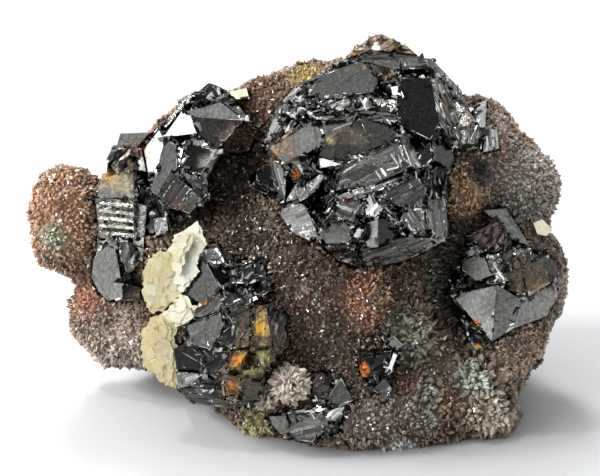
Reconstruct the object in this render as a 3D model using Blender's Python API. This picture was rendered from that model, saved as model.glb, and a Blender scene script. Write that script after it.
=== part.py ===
"""A sphalerite specimen: dark crystals, calcite blades and a quartz rosette on a lump of drusy quartz.

The side that is shown leans back from upright. A place on it is given on a drawing grid laid over that
side, as right and down in grid steps from the grid's upper left corner, and out in millimetres, towards
the viewer.
"""

import itertools
import math

import bmesh
import bpy
import numpy as np
from mathutils import Matrix, Vector, noise

MM = 0.001
# One step of the grid is 0.147 mm, so that the specimen is about 80 mm wide.
GRID_STEP = 0.147
GRID_MIDDLE = 295
GRID_FOOT = 391.7
LEAN = math.radians(25)

ACROSS = Vector((1, 0, 0))
UP = Vector((0, math.sin(LEAN), math.cos(LEAN)))
OUT = Vector((0, -math.cos(LEAN), math.sin(LEAN)))

# In millimetres: the gap round every crystal group, how far the roots of neighbouring columns lie apart and
# how much of them is cut off, and the distance below which two corners are one.
GAP = 0.3
ROOT_STAGGER = 0.37
ROOT_TRIM = 2.0
SAME_PLACE = 0.02
# How much a column widens towards its root, in degrees.
SIDE_FLARE = 2.0

# The quartz lump on the shown side: middle on the grid, half widths across, up and out in millimetres.
LOBES = (
    ((325, 285, 4), (20, 20, 18)),
    ((320, 300, 9), (11.5, 10.5, 13.5)),
    ((64, 207, 3), (5.7, 6.3, 7)),
    ((66, 237, 3), (6.0, 5.6, 7)),
    ((92, 316, 2), (4.3, 3.9, 6.5)),
    ((116, 336, 2), (5.4, 5.0, 7)),
    ((125, 250, 1), (5, 12, 8)),
    ((150, 330, 4), (5, 6, 9)),
    ((200, 160, 1), (9, 9, 9)),
    ((170, 250, 5), (7, 9, 10)),
    ((232, 190, 3), (6.5, 8.5, 8)),
    ((262, 96, 2), (5.5, 2.7, 6)),
    ((302, 79, 4), (4.8, 2.3, 6)),
    ((340, 90, 5), (10, 4.5, 8)),
    ((396, 88, 4), (8.2, 4.6, 9)),
    ((481, 142, 4), (5.8, 7.0, 10)),
    ((517, 188, 3), (6.7, 6.8, 10)),
    ((458, 195, 6), (6, 8, 9)),
    ((524, 280, 4), (6.8, 9.0, 10)),
    ((503, 345, 7), (6.6, 5.8, 9)),
    ((488, 405, 10), (4.4, 5.2, 8)),
    ((474, 378, 13.5), (3.1, 2.9, 5.4)),
    ((492, 416, 14), (3.5, 3.5, 4.8)),
    ((420, 404, 15), (4.0, 3.8, 5.6)),
    ((415, 337, 14.5), (3.6, 3.4, 6)),
    ((452, 370, 12), (4, 6, 6)),
    ((365, 300, 17), (4.5, 7, 5.4)),
    ((430, 425, 8), (11, 4.2, 9)),
    ((350, 420, 9), (9, 4.4, 9.5)),
    ((275, 405, 6), (7, 4, 9)),
    ((262, 420, 12), (4.8, 2.4, 6)),
    ((230, 370, 8), (7, 6, 9)),
)
# The lump's back and foot, upright and before it is centred, in millimetres: middle and half widths.
BACK_LOBES = (
    ((11, -2, 4), (23, 20.5, 9)),
    ((-8, 6, 6), (15, 13, 9)),
    ((14, 14, 18), (20, 11, 17)),
    ((-12, 13, 22), (15, 9, 13)),
    ((6, 13, 36), (17, 8, 10)),
    ((-23.5, 9, 19), (7.5, 7, 9)),
    ((26, 12, 30), (10, 7, 9)),
)
# The lump's surface, in millimetres: the size of its cells, how much it swells, the height and width of the
# low knobs on it, and the share of its faces that is kept.
LUMP_VOXEL = 1.9
LUMP_SWELL = 0.2
KNOB_HEIGHT = 0.8
KNOB_WIDTH = 3.4
LUMP_KEPT = 0.27

# The blocks that cut off the foot and the roots, in millimetres.
CUTTER_WIDTH = 300
CUTTER_DEPTH = 100

# Each group of crystals: how far out its columns start, and the faces that they end in. Of a face's
# corners, the first three say how far out they are, and the others lie in the same plane. Cores fill a
# group behind its faces.

MAIN_ROOT = 10
MAIN_FACES = (
    ((338, 64, 17), (372, 51, 15.5), (424, 57, 15.5), (430, 68), (398, 70), (362, 62)),
    ((314, 97, 22.5), (323, 75, 20), (361, 61, 20), (377, 82), (373, 93), (342, 96), (303, 101)),
    ((303, 84, 19.5), (323, 75, 20), (314, 97, 22.5), (302, 102)),
    ((361, 61, 18.5), (400, 69, 18), (398, 84, 19.5), (377, 82)),
    ((383, 79, 23), (395, 75, 22), (397, 86, 23.5), (386, 89)),
    ((390, 88, 25.5), (399, 86, 25), (402, 97, 26.5), (392, 96)),
    ((395, 101, 27), (400, 80, 24.5), (430, 79, 24), (438, 123), (429, 141), (397, 125)),
    ((430, 80, 24), (444, 78, 20), (457, 115, 20.5), (460, 140), (452, 150), (438, 123)),
    ((424, 57, 15), (434, 60, 14), (448, 77, 14.5), (462, 90), (466, 104), (455, 100), (428, 70)),
    ((430, 140, 27), (440, 124, 25.5), (452, 145, 24.5), (453, 160), (447, 168), (431, 160)),
    ((300, 101, 23.5), (373, 94, 23.5), (395, 101, 25.5), (397, 123), (375, 121), (317, 120), (300, 108)),
    ((305, 106, 24.5), (318, 103, 26.2), (336, 112, 26.6), (312, 119)),
    ((320, 100, 25.5), (346, 97, 25.8), (352, 109, 27.2), (334, 113)),
    ((352, 99, 25.6), (368, 96, 25.8), (372, 113, 27.4), (356, 115)),
    ((372, 98, 26), (395, 101, 27), (397, 125, 28.6), (384, 120)),
    ((270, 149, 24), (317, 119, 26), (326, 143, 28), (302, 157), (286, 165)),
    ((317, 119, 26.2), (358, 119, 29.2), (326, 143, 28.1)),
    ((326, 143, 28.2), (358, 119, 29.3), (372, 149, 31), (344, 164), (319, 157)),
    ((358, 119, 29.3), (386, 121, 29.4), (397, 139, 31), (372, 149)),
    ((335, 191, 31.5), (344, 165, 30.6), (397, 139, 31.5), (410, 168), (375, 184)),
    ((397, 137, 31.7), (404, 133, 30), (421, 168, 31), (411, 170)),
    ((397, 125, 28.5), (429, 141, 27.5), (431, 160, 28.5), (421, 169), (403, 134)),
    ((335, 197, 32.6), (375, 184, 32.7), (411, 168, 32.2), (412, 172), (380, 191), (341, 200)),
    ((380, 191, 33), (412, 171, 32), (425, 190, 31), (420, 208), (398, 207), (384, 199)),
    ((357, 194, 31), (379, 191, 32.5), (384, 204, 32), (379, 217), (362, 218)),
    ((380, 200, 32.7), (385, 204, 32.6), (401, 224, 30.8), (394, 221), (382, 211)),
    ((361, 226, 29), (377, 219, 31.5), (377, 247, 30), (366, 248), (361, 238)),
    ((377, 219, 31.5), (377, 245, 30.2), (400, 238, 27.5), (401, 226), (392, 219)),
    ((351, 237, 30.2), (358, 227, 30.6), (363, 231, 30), (360, 239)),
    ((318, 232, 27), (352, 214, 30.5), (356, 233, 29.5), (348, 242), (326, 244)),
    ((338, 199, 30.5), (357, 196, 31), (360, 206, 30.8), (353, 216), (332, 222)),
    ((344, 166, 30), (336, 200, 29.5), (306, 215, 23), (318, 232), (332, 222), (324, 174)),
    ((319, 158, 28.3), (344, 165, 30.2), (320, 169, 27.2)),
    ((287, 166, 25), (303, 156, 26.8), (320, 168, 26.4), (302, 190)),
    ((270, 158, 22), (287, 166, 24.8), (285, 203, 22.3), (274, 185)),
    ((285, 203, 22.4), (300, 178, 25.4), (300, 198, 24.6)),
    ((296, 193, 24.8), (322, 172, 26.5), (325, 177, 26.5), (310, 196), (300, 202)),
    ((284, 203, 22.3), (304, 204, 24.4), (318, 234, 26), (310, 241), (292, 232), (280, 214)),
    ((425, 196, 27), (445, 199, 24), (447, 237, 24.5), (436, 240), (425, 225)),
    ((400, 206, 30.5), (421, 206, 30), (426, 236, 27), (412, 235), (401, 226)),
    ((421, 169, 29), (446, 168, 24.8), (445, 199, 24.8), (425, 200)),
    ((362, 249, 28.5), (401, 238, 28.5), (446, 237, 25.5), (420, 252), (398, 262), (362, 266)),
    ((322, 244, 26.5), (350, 241, 28.5), (362, 266, 24.1), (340, 262)),
    ((262, 146, 20.5), (281, 107, 20), (303, 103, 23), (312, 120), (296, 131), (271, 148)),
    ((264, 143, 21.9), (272, 122, 22.4), (285, 110, 22.6), (291, 113), (277, 129), (270, 142)),
    ((284, 112, 22.8), (299, 108, 24.2), (311, 117, 25.4), (303, 122), (289, 117)),
    ((284, 101, 19.5), (297, 86, 18.5), (305, 84, 20), (302, 104)),
)
MAIN_CORES = (
    (
        (361, 64, 14.8), (430, 70, 13), (392, 118, 22.4),
        (323, 79), (300, 101), (306, 120), (444, 86), (450, 118),
    ),
    (
        (272, 152, 19.8), (446, 166, 22.4), (380, 119, 24),
        (302, 122), (430, 125), (446, 200), (318, 230), (285, 203),
    ),
    (
        (358, 121, 27), (410, 168, 28.7), (362, 247, 26.6),
        (326, 145), (397, 139), (421, 200), (398, 236), (322, 226),
    ),
    (
        (320, 234, 24.6), (440, 238, 22.8), (380, 250, 24.4),
        (444, 204), (340, 212), (396, 258), (362, 263),
    ),
)
CAP_ROOT = 4
CAP_FACES = (
    ((356, 48, 12.6), (373, 35, 11.2), (382, 33, 11.4), (392, 38), (396, 47), (384, 55), (360, 57)),
    ((372, 40, 12.2), (381, 36, 12.0), (386, 52, 13.8), (370, 52)),
    ((390, 42, 12), (406, 44, 11.5), (421, 57, 13), (400, 57), (391, 53)),
    ((346, 58, 13), (358, 45, 12.3), (368, 57, 14)),
)
UPPER_LEFT_ROOT = 2
UPPER_LEFT_FACES = (
    ((163, 137, 14.5), (181, 111, 12.5), (197, 133, 16), (191, 116)),
    ((143, 149, 12.3), (159, 129, 13), (164, 139, 14.5), (157, 173), (148, 173)),
    ((186, 111, 13), (220, 101, 12), (243, 120, 15), (193, 117)),
    ((193, 117, 14.2), (243, 120, 15.2), (217, 150, 16.5), (197, 133)),
    ((243, 120, 15.2), (258, 127, 13.5), (248, 150, 14.5), (217, 150)),
    ((184, 143, 15), (217, 150, 16.5), (203, 175, 17.5), (178, 168), (197, 134)),
    ((176, 147, 15.4), (184, 145, 15.6), (179, 167, 17)),
    ((216, 150, 17.4), (220, 153, 16.8), (203, 182, 17.6), (199, 178)),
    ((165, 138, 14.8), (177, 168, 17), (156, 173, 15.8), (150, 190), (158, 195), (176, 145)),
    ((158, 128, 11), (191, 92, 9.5), (207, 95, 10.5), (187, 111), (163, 136)),
    ((176, 106, 11.4), (190, 93, 10.7), (193, 95, 10.9), (166, 127), (163, 127)),
    ((200, 95, 9.5), (232, 97, 9.5), (252, 122, 13), (243, 120), (220, 101)),
    ((158, 195, 17.2), (171, 171, 16.8), (203, 200, 18.2), (190, 213), (172, 208)),
    ((180, 170, 17.1), (199, 176, 17.5), (211, 200, 17.2), (204, 202)),
    ((148, 190, 14.3), (160, 196, 16.2), (176, 222, 16), (165, 240), (146, 238), (136, 215)),
    ((153, 219, 16), (166, 217, 16.6), (168, 230, 17), (156, 236)),
)
UPPER_LEFT_CORES = (
    ((165, 138, 12.2), (243, 120, 11.6), (190, 180, 14.8), (151, 190), (181, 113), (217, 149), (205, 172)),
    ((150, 190, 12.2), (203, 198, 15.2), (168, 236, 14), (172, 174), (148, 234), (138, 214)),
)
LEFT_ROOT = 0
LEFT_FACES = (
    ((119, 133, 9), (149, 132, 10), (136, 146, 11), (115, 149)),
    ((116, 149, 11), (136, 145, 11.3), (135, 169, 12), (124, 173), (113, 165)),
    ((108, 162, 9.5), (116, 149, 10.6), (119, 166, 11.2), (111, 170)),
    ((136, 147, 11.5), (149, 149, 12.2), (148, 172, 13), (138, 170)),
    ((99, 180, 10), (131, 167, 11.5), (134, 200, 13), (95, 197)),
    ((131, 167, 11.7), (140, 171, 10.8), (134, 200, 13.2), (138, 196)),
    ((91, 189, 8), (98, 182, 9.8), (97, 207, 10.5), (93, 202)),
    ((94, 198, 11.2), (134, 200, 13), (134, 240, 12.4), (99, 238)),
    ((92, 258, 9.5), (113, 239, 12), (123, 297, 12), (107, 301), (97, 292), (90, 277)),
    ((114, 234, 12.6), (134, 246, 13.2), (136, 262, 13.2), (125, 278), (120, 262)),
    ((120, 283, 12), (140, 288, 12.4), (139, 301, 12.4), (122, 300)),
    ((134, 202, 12.4), (146, 206, 13), (142, 262, 13.4), (132, 258)),
)
LEFT_CORES = (
    (
        (101, 182, 8.2), (133, 200, 11.4), (107, 298, 9.8),
        (133, 170), (138, 260), (122, 296), (95, 288), (94, 258),
    ),
    ((112, 165, 8), (148, 152, 9.8), (134, 205, 10.4), (118, 150), (112, 180)),
)
# Level growth steps across the left crystals, in grid steps, and how far out they start and end.
RIB_COUNT = 5
RIB_TOP = 201
RIB_LEFT = 98
RIB_RIGHT = 133
RIB_PITCH = 7.4
RIB_DROP = 4.2
RIB_SLANT = 3
RIB_OUT = (11.9, 13.5, 13.7)
LOWER_ROOT = 6
LOWER_FACES = (
    ((200, 246, 19), (217, 244, 19), (225, 263, 21.5), (206, 264), (193, 256)),
    ((190, 259, 20.3), (206, 263, 21.6), (222, 287, 23.5), (204, 306), (187, 294)),
    ((206, 263, 21.5), (226, 262, 20), (230, 282, 21), (222, 287)),
    ((187, 326, 23), (224, 309, 23.6), (226, 322, 24.5), (211, 349), (193, 344)),
    ((203, 305, 23.3), (219, 290, 23), (226, 309, 23.9), (198, 317), (192, 312)),
    ((174, 348, 22.8), (193, 344, 24), (212, 349, 24.8), (206, 372), (177, 371)),
    ((176, 371, 22.5), (206, 373, 24.3), (190, 385, 23.5), (179, 388)),
    ((206, 350, 24.6), (227, 350, 25), (226, 386, 24.6), (207, 373)),
    ((190, 385, 23.4), (207, 373, 24.2), (227, 386, 24.4), (200, 393)),
    ((180, 388, 23), (225, 386, 24.8), (252, 403, 22.5), (232, 408), (191, 402)),
    ((226, 263, 19.5), (262, 258, 20), (272, 290, 22), (250, 302), (230, 286)),
    ((240, 268, 21.6), (252, 262, 22), (258, 280, 23), (244, 286)),
    ((226, 309, 24), (250, 304, 24.6), (249, 345, 25.5), (226, 350), (213, 349)),
    ((222, 288, 22.6), (250, 302, 23), (250, 311, 23.6), (226, 311)),
    ((252, 309, 25), (270, 303, 24.5), (288, 318, 24), (288, 347), (268, 352), (250, 346)),
    ((256, 314, 26), (267, 309, 25.8), (272, 345, 26.4), (257, 344)),
    ((256, 350, 26), (272, 350, 25.5), (270, 368, 24.5), (258, 368)),
    ((226, 351, 25.4), (246, 350, 26), (243, 370, 25.5), (229, 369)),
    ((243, 370, 25.2), (268, 367, 24.8), (260, 379, 24), (244, 378)),
    ((225, 374, 25.3), (240, 376, 25.2), (238, 400, 24.4), (228, 399)),
    ((240, 378, 24.3), (262, 380, 24), (257, 399, 23), (240, 402)),
)
LOWER_CORES = (
    ((196, 256, 17.2), (226, 268, 18.4), (200, 320, 21), (226, 309), (190, 322), (189, 290)),
    (
        (226, 300, 21.4), (285, 330, 22.2), (200, 390, 22),
        (250, 304), (284, 346), (262, 378), (230, 402), (178, 352),
    ),
)
FRONT_ROOT = 12
FRONT_FACES = (
    ((328, 396, 22), (341, 377, 21.5), (353, 400, 22.5), (340, 404), (329, 403)),
    ((311, 374, 20), (330, 372, 20), (330, 399, 21), (313, 400)),
    ((321, 414, 22.6), (345, 404, 22.6), (345, 412, 22.9), (337, 421), (325, 420)),
    ((291, 421, 22.5), (321, 412, 23), (330, 425, 22.8), (312, 441), (298, 440), (290, 431)),
    ((269, 416, 21), (286, 415, 22.3), (291, 431, 22), (280, 433), (272, 425)),
    ((287, 412, 21.8), (330, 404, 22.4), (321, 412, 22.9), (291, 421)),
    ((330, 425, 22.5), (352, 405, 21.5), (350, 430, 20.5), (322, 437)),
)
FRONT_CORES = (((314, 377, 18.6), (349, 404, 20.4), (280, 420, 19.4), (340, 380), (331, 430), (300, 435)),)
RIGHT_ROOT = 7
RIGHT_FACES = (
    ((468, 237, 17.5), (497, 221, 17), (510, 239, 18.5), (505, 250), (486, 252)),
    ((484, 210, 15), (506, 208, 15), (531, 248, 18), (511, 238), (498, 219)),
    ((462, 260, 18.5), (483, 253, 19), (492, 276, 20.5), (476, 281), (462, 270)),
    ((463, 250, 18), (481, 243, 18), (484, 253, 19.2), (468, 257)),
    ((452, 295, 18.5), (497, 285, 21), (491, 341, 23), (466, 312)),
    ((497, 285, 21), (521, 300, 21.5), (512, 328, 22.6), (491, 341)),
    ((521, 300, 21.6), (546, 291, 20), (555, 282, 19), (557, 297), (546, 315), (512, 328)),
    ((498, 252, 19), (512, 248, 19.5), (522, 268, 20.5), (506, 274)),
    ((512, 247, 18.8), (532, 248, 18.2), (530, 268, 19.6), (520, 268)),
    ((522, 270, 20.6), (545, 256, 18.6), (549, 284, 19.8), (528, 297)),
    ((503, 273, 20.6), (520, 270, 21), (526, 297, 21.8), (512, 290)),
    ((486, 256, 19), (499, 253, 19.2), (505, 283, 21), (492, 284)),
    ((545, 256, 17.8), (556, 262, 16.6), (557, 284, 17.8), (548, 285)),
    ((462, 316, 20.4), (483, 333, 22.8), (489, 343, 22.9), (477, 350), (470, 341)),
)
RIGHT_CORES = (
    (
        (472, 242, 15.8), (552, 265, 15.6), (491, 336, 20.4), (505, 224), (527, 248), (552, 296), (510, 326),
        (468, 310), (456, 296), (465, 262),
    ),
)
SMALL_ROOT = 13
SMALL_FACES = (
    ((372, 389, 23.2), (384, 377, 22.7), (392, 388, 23.2), (384, 398)),
    ((386, 371, 23.4), (394, 350, 23.3), (398, 352, 22.8), (391, 370)),
    ((358, 353, 22.3), (392, 351, 22.8), (386, 375, 23), (362, 377)),
    ((391, 333, 21.6), (404, 346, 22), (397, 351, 22.8), (388, 344)),
    ((366, 374, 22.2), (388, 373, 22.2), (390, 383, 22.2), (372, 386)),
)
SHOULDER_ROOT = 4
SHOULDER_FACES = (
    ((463, 140, 16.4), (469, 112, 15), (478, 104, 14.4), (476, 128)),
    ((476, 128, 16), (478, 103, 14.6), (487, 101, 13.2), (486, 130)),
    ((462, 139, 16.2), (476, 128, 16.4), (489, 131, 15), (482, 147), (466, 150)),
    ((486, 130, 14), (498, 126, 12.6), (500, 148, 13.2), (484, 152)),
    ((458, 112, 14.8), (469, 110, 14.8), (463, 138, 16.2), (458, 130)),
)
CHIP_ROOT = 8
CHIP_FACES = (
    ((534, 223, 14.6), (543, 219, 14.1), (553, 230, 14.6), (547, 236), (538, 234)),
)
BRASSY_ROOT = 2
BRASSY_FACES = (
    ((229, 91, 8.6), (246, 87, 8.1), (249, 98, 9.4), (233, 98)),
    ((238, 89, 9.2), (246, 87, 8.9), (248, 95, 9.6), (240, 96)),
)
# Calcite blades: how far out the blade's middle is, how much it comes out to the right and downwards, and
# its outline.
BLADES = (
    (
        (21.0, 0.15, 0.12),
        (
            (197, 223), (203, 231), (203, 240), (193, 251), (189, 268), (195, 278), (184, 292),
            (173, 286), (167, 264), (167, 251), (174, 246), (174, 235), (183, 231),
        ),
    ),
    (
        (21.4, -0.12, 0.06),
        (
            (146, 265), (153, 255), (160, 250), (169, 252), (176, 270), (182, 293), (166, 308), (154, 314),
            (145, 301),
        ),
    ),
    ((22.4, 0.05, 0.15), ((163, 315), (182, 294), (191, 306), (201, 307), (189, 322), (176, 327))),
    (
        (22.0, -0.05, 0.05),
        (
            (150, 318), (166, 311), (177, 325), (175, 348), (177, 372), (177, 388), (169, 386),
            (166, 377), (153, 370), (146, 355), (142, 335),
        ),
    ),
    ((22.2, 0.05, 0.1), ((172, 240), (186, 232), (193, 236), (184, 256), (180, 276), (172, 268))),
)
# A blade's thickness, and the rings of points round its rim: their scale, and their height in thicknesses.
BLADE_THICKNESS = 1.5
BLADE_RINGS = ((0.95, 0.5), (1.0, 0.1), (1.0, -0.1), (0.95, -0.5))
BLADE_ROOT = 6
BLADE_CORE = (
    ((170, 262, 20.4), (190, 246, 20.2), (186, 285, 21.4), (176, 290)),
    ((152, 272, 20.6), (170, 262, 20.6), (178, 292, 21.4), (160, 304)),
    ((154, 326, 21.2), (182, 302, 21.8), (172, 352, 21.4), (154, 352)),
    ((156, 300, 20.8), (180, 292, 21.4), (176, 325, 21.4), (156, 322)),
)

ROSETTE_MIDDLE = (290, 384, 21.4)
ROSETTE_RADIUS = 3.6
ROSETTE_POINTS = 19
ROSETTE_ROOT = 14
SMALL_ROSETTE_MIDDLE = (267, 397, 20.0)
SMALL_ROSETTE_RADIUS = 2.5
SMALL_ROSETTE_POINTS = 7
# A quartz point's half width and the share of it that is tip, as shares of its length.
POINT_WIDTH = 0.27
POINT_TIP = 0.22
# The stalk that the points grow from, as shares of the rosette's radius.
STALK_WIDTH = 0.55
STALK_LENGTH = 1.5
GOLDEN_TURN = math.pi * (3 - math.sqrt(5))

# Loose crystals round the flanks: middle on the grid, radius in millimetres, turns about three directions.
FLANK_CRYSTALS = {
    "main": (
        ((342, 93, 12), 4.4, (20, 10, 35)),
        ((416, 90, 12), 4.0, (-25, 30, 10)),
        ((450, 130, 17), 4.6, (15, -20, 50)),
        ((276, 178, 15), 4.2, (35, 15, 0)),
        ((372, 70, 9), 5.0, (5, 40, 20)),
    ),
    "upper_left": (
        ((181, 133, 5), 3.8, (10, 25, 40)),
        ((208, 108, 4), 4.0, (30, -10, 15)),
        ((152, 190, 9), 3.8, (-15, 20, 60)),
    ),
    "left": (
        ((125, 160, 4), 3.2, (25, 5, 30)),
        ((113, 215, 5), 3.4, (0, 35, 10)),
        ((110, 272, 5), 3.2, (40, 20, -10)),
    ),
    "lower": (
        ((200, 372, 15), 4.2, (20, 30, 5)),
        ((205, 285, 14), 3.6, (-10, 15, 45)),
        ((240, 385, 16), 4.0, (30, 0, 25)),
    ),
    "front": (((314, 424, 16), 3.6, (15, 25, 30)),),
    "right": (
        ((520, 290, 12), 4.6, (10, 35, 20)),
        ((475, 285, 13), 3.8, (-20, 10, 40)),
    ),
}

# How far from its middle a loose crystal's cut corners, its sides and its cut edges lie, in radii.
CORNER_REACH = 0.9
SIDE_REACH = 0.62
EDGE_REACH = 0.84

DARK = (0.05, 0.048, 0.045, 1)
HONEY = (0.42, 0.24, 0.1, 1)
CREAM = (0.76, 0.72, 0.55, 1)
PINKISH = (0.6, 0.5, 0.46, 1)
QUARTZ_BROWN = (0.3, 0.24, 0.21, 1)
BRASS_YELLOW = (0.72, 0.68, 0.5, 1)


def placed(across, up, out):
    """A place on the shown side in millimetres, turned into the upright frame in metres."""
    return (ACROSS * across + UP * up + OUT * out) * MM


def on_grid(right, down, out=0.0):
    """A place on the drawing grid as (across, up, out) in millimetres."""
    return Vector(((right - GRID_MIDDLE) * GRID_STEP, (GRID_FOOT - down) * GRID_STEP, out))


def flat_corners(corners):
    """The corners of one flat face. The first three carry their out, and the rest lie in the same plane."""
    first, second, third = (on_grid(*corner) for corner in corners[:3])
    normal = (second - first).cross(third - first)
    placed_corners = [first, second, third]
    for right, down in corners[3:]:
        corner = on_grid(right, down)
        away = corner - first
        corner.z = first.z - (away.x * normal.x + away.y * normal.y) / normal.z
        placed_corners.append(corner)
    return placed_corners


def outline(corners):
    """The corners on the outside of the face as it is seen, in order, counter-clockwise."""
    ordered = sorted(corners, key=lambda corner: (corner.x, corner.y))
    chains = []
    for run in (ordered, ordered[::-1]):
        chain = []
        for corner in run:
            while len(chain) > 1:
                last, before = chain[-1], chain[-2]
                if (last - before).xy.cross((corner - before).xy) > 1e-6:
                    break
                chain.pop()
            chain.append(corner)
        chains.append(chain[:-1])
    return chains[0] + chains[1]


def column(face, root):
    """Planes, as (point, normal), of a crystal column that ends in this face and goes back to its root."""
    corners = outline(flat_corners(face))
    normal = (corners[1] - corners[0]).cross(corners[2] - corners[0]).normalized()
    planes = [(corners[0], normal), (Vector((0, 0, root)), Vector((0, 0, -1)))]
    flare = math.tan(math.radians(SIDE_FLARE))
    for start, end in zip(corners, corners[1:] + corners[:1]):
        along = end - start
        side = Vector((along.y, -along.x, 0)).normalized()
        wall = along.cross(Vector((side.x * flare, side.y * flare, -1))).normalized()
        planes.append((start, wall if wall.dot(side) > 0 else -wall))
    return planes


def columns(faces, root):
    """Planes of the columns behind all the faces, their roots at slightly different depths."""
    return [column(face, root + ROOT_STAGGER * (k % 5)) for k, face in enumerate(faces)]


def loose_crystal(middle, radius, turns):
    """Planes of a tetrahedron with cut corners and edges, turned about three directions."""
    turned = Matrix.Identity(3)
    for turn, axis in zip(turns, "XYZ"):
        turned = Matrix.Rotation(math.radians(turn), 3, axis) @ turned
    centre = on_grid(*middle)
    planes = []
    for x, y, z in ((1, 1, 1), (1, -1, -1), (-1, 1, -1), (-1, -1, 1)):
        way = Vector((x, y, z)).normalized()
        planes.append((way, SIDE_REACH))
        planes.append((-way, CORNER_REACH))
    for way in Matrix.Identity(3):
        planes.append((way, EDGE_REACH))
        planes.append((-way, EDGE_REACH))
    return [(centre + turned @ way * reach * radius, turned @ way) for way, reach in planes]


def quartz_point(middle, way, length, width):
    """Planes of a six-sided quartz point that stands on the middle and ends in a blunt tip."""
    side = way.orthogonal().normalized()
    planes = [(middle - way * width, -way)]
    tip = middle + way * length
    for k in range(6):
        out_way = Matrix.Rotation(math.radians(60 * k), 3, way) @ side
        planes.append((middle + out_way * width, out_way))
        if k % 2:
            planes.append((tip, (out_way + way * width / (POINT_TIP * length)).normalized()))
    return planes


def rosette(middle, radius, count, spin):
    """Quartz points that spread from one middle, towards the viewer and to all sides."""
    points = []
    centre = on_grid(*middle)
    for k in range(count):
        rise = 1 - 1.05 * (k + 0.5) / count
        turn = GOLDEN_TURN * k + spin
        flat = math.sqrt(1 - rise * rise)
        way = Vector((flat * math.cos(turn), flat * math.sin(turn), rise))
        length = radius * (0.9 + 0.1 * math.sin(5.1 * k))
        width = radius * POINT_WIDTH * (1 + 0.15 * math.sin(3.3 * k))
        points.append(quartz_point(centre, way, length, width))
    back = Vector((0, 0, -1))
    stalk = [(centre + back * radius * STALK_LENGTH, back), (centre, -back)]
    for k in range(8):
        turn = math.radians(45 * k)
        side = Vector((math.cos(turn), math.sin(turn), 0.15)).normalized()
        stalk.append((centre + side * radius * STALK_WIDTH, side))
    return points + [stalk]


def ribs():
    """Level steps across the upright face of the left crystals."""
    faces = []
    for k in range(RIB_COUNT):
        down = RIB_TOP + RIB_PITCH * k
        lower = down + RIB_SLANT
        faces.append(
            (
                (RIB_LEFT, down, RIB_OUT[0]),
                (RIB_RIGHT, lower, RIB_OUT[1]),
                (RIB_RIGHT, lower + RIB_DROP, RIB_OUT[2]),
                (RIB_LEFT, down + RIB_DROP - 1),
            )
        )
    return faces


def corners_of(planes, grown):
    """The corners of the convex solid behind all the planes, each moved out by grown."""
    normals = np.array([normal for _, normal in planes])
    reach = np.array([point.dot(normal) for point, normal in planes]) + grown
    count = len(planes)
    threes = np.array(list(itertools.combinations(range(count), 3)))
    sides = normals[threes]
    usable = np.abs(np.linalg.det(sides)) > 1e-4
    found = np.linalg.solve(sides[usable], reach[threes[usable]][..., None])[..., 0]
    inside = (found @ normals.T <= reach + 1e-5).all(axis=1)
    kept = []
    for corner in found[inside]:
        if all(np.linalg.norm(corner - other) > SAME_PLACE for other in kept):
            kept.append(corner)
    return kept


def link(name, mesh):
    """A new object with this mesh, in the scene."""
    made = bpy.data.objects.new(name, mesh)
    bpy.context.scene.collection.objects.link(made)
    return made


def mesh_from(shape, name):
    """A mesh with this shape, its faces turned outwards."""
    bmesh.ops.recalc_face_normals(shape, faces=shape.faces[:])
    mesh = bpy.data.meshes.new(name)
    shape.to_mesh(mesh)
    shape.free()
    return mesh


def convex_solid(planes, grown=0.0):
    """An object with the convex solid behind all the planes."""
    shape = bmesh.new()
    for corner in corners_of(planes, grown):
        shape.verts.new(placed(*corner))
    bmesh.ops.convex_hull(shape, input=shape.verts[:])
    flat = math.radians(0.5)
    bmesh.ops.dissolve_limit(shape, angle_limit=flat, verts=shape.verts[:], edges=shape.edges[:])
    return link("column", mesh_from(shape, "column"))


def blade(slopes, corners, grown=0.0):
    """A thin plate with an uneven outline, thinner towards its rim."""
    middle_out, to_right, downwards = slopes
    flat = [on_grid(*corner) for corner in corners]
    centre = sum(flat, Vector()) / len(flat)
    rim = []
    for before, here, after in zip(flat[-1:] + flat[:-1], flat, flat[1:] + flat[:1]):
        along = (after - before).normalized()
        rim.append(here + Vector((-along.y, along.x, 0)) * grown)
    shape = bmesh.new()
    rings = []
    for scale, rise in BLADE_RINGS:
        ring = []
        for corner in rim:
            spot = centre + (corner - centre) * scale
            away = spot - centre
            out = middle_out + away.x * to_right - away.y * downwards
            out += rise * BLADE_THICKNESS + math.copysign(grown, rise)
            ring.append(shape.verts.new(placed(spot.x, spot.y, out)))
        rings.append(ring)
    shape.faces.new(rings[0])
    shape.faces.new(rings[-1])
    for upper, lower in zip(rings, rings[1:]):
        for k in range(len(upper)):
            shape.faces.new((upper[k - 1], upper[k], lower[k], lower[k - 1]))
    return link("blade", mesh_from(shape, "blade"))


def largest_piece(mesh):
    """Leaves only the piece of the mesh with the most faces."""
    shape = bmesh.new()
    shape.from_mesh(mesh)
    left = set(shape.faces)
    largest = set()
    while left:
        piece = set()
        edge_of_piece = [left.pop()]
        while edge_of_piece:
            face = edge_of_piece.pop()
            piece.add(face)
            for edge in face.edges:
                for other in edge.link_faces:
                    if other in left:
                        left.discard(other)
                        edge_of_piece.append(other)
        if len(piece) > len(largest):
            largest = piece
    bmesh.ops.delete(shape, geom=[face for face in shape.faces if face not in largest], context="FACES")
    shape.to_mesh(mesh)
    shape.free()


def applied(base):
    """The mesh of the object with its modifiers applied. The object goes."""
    bpy.context.view_layer.update()
    graph = bpy.context.evaluated_depsgraph_get()
    mesh = bpy.data.meshes.new_from_object(base.evaluated_get(graph))
    bpy.data.objects.remove(base)
    return mesh


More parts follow.
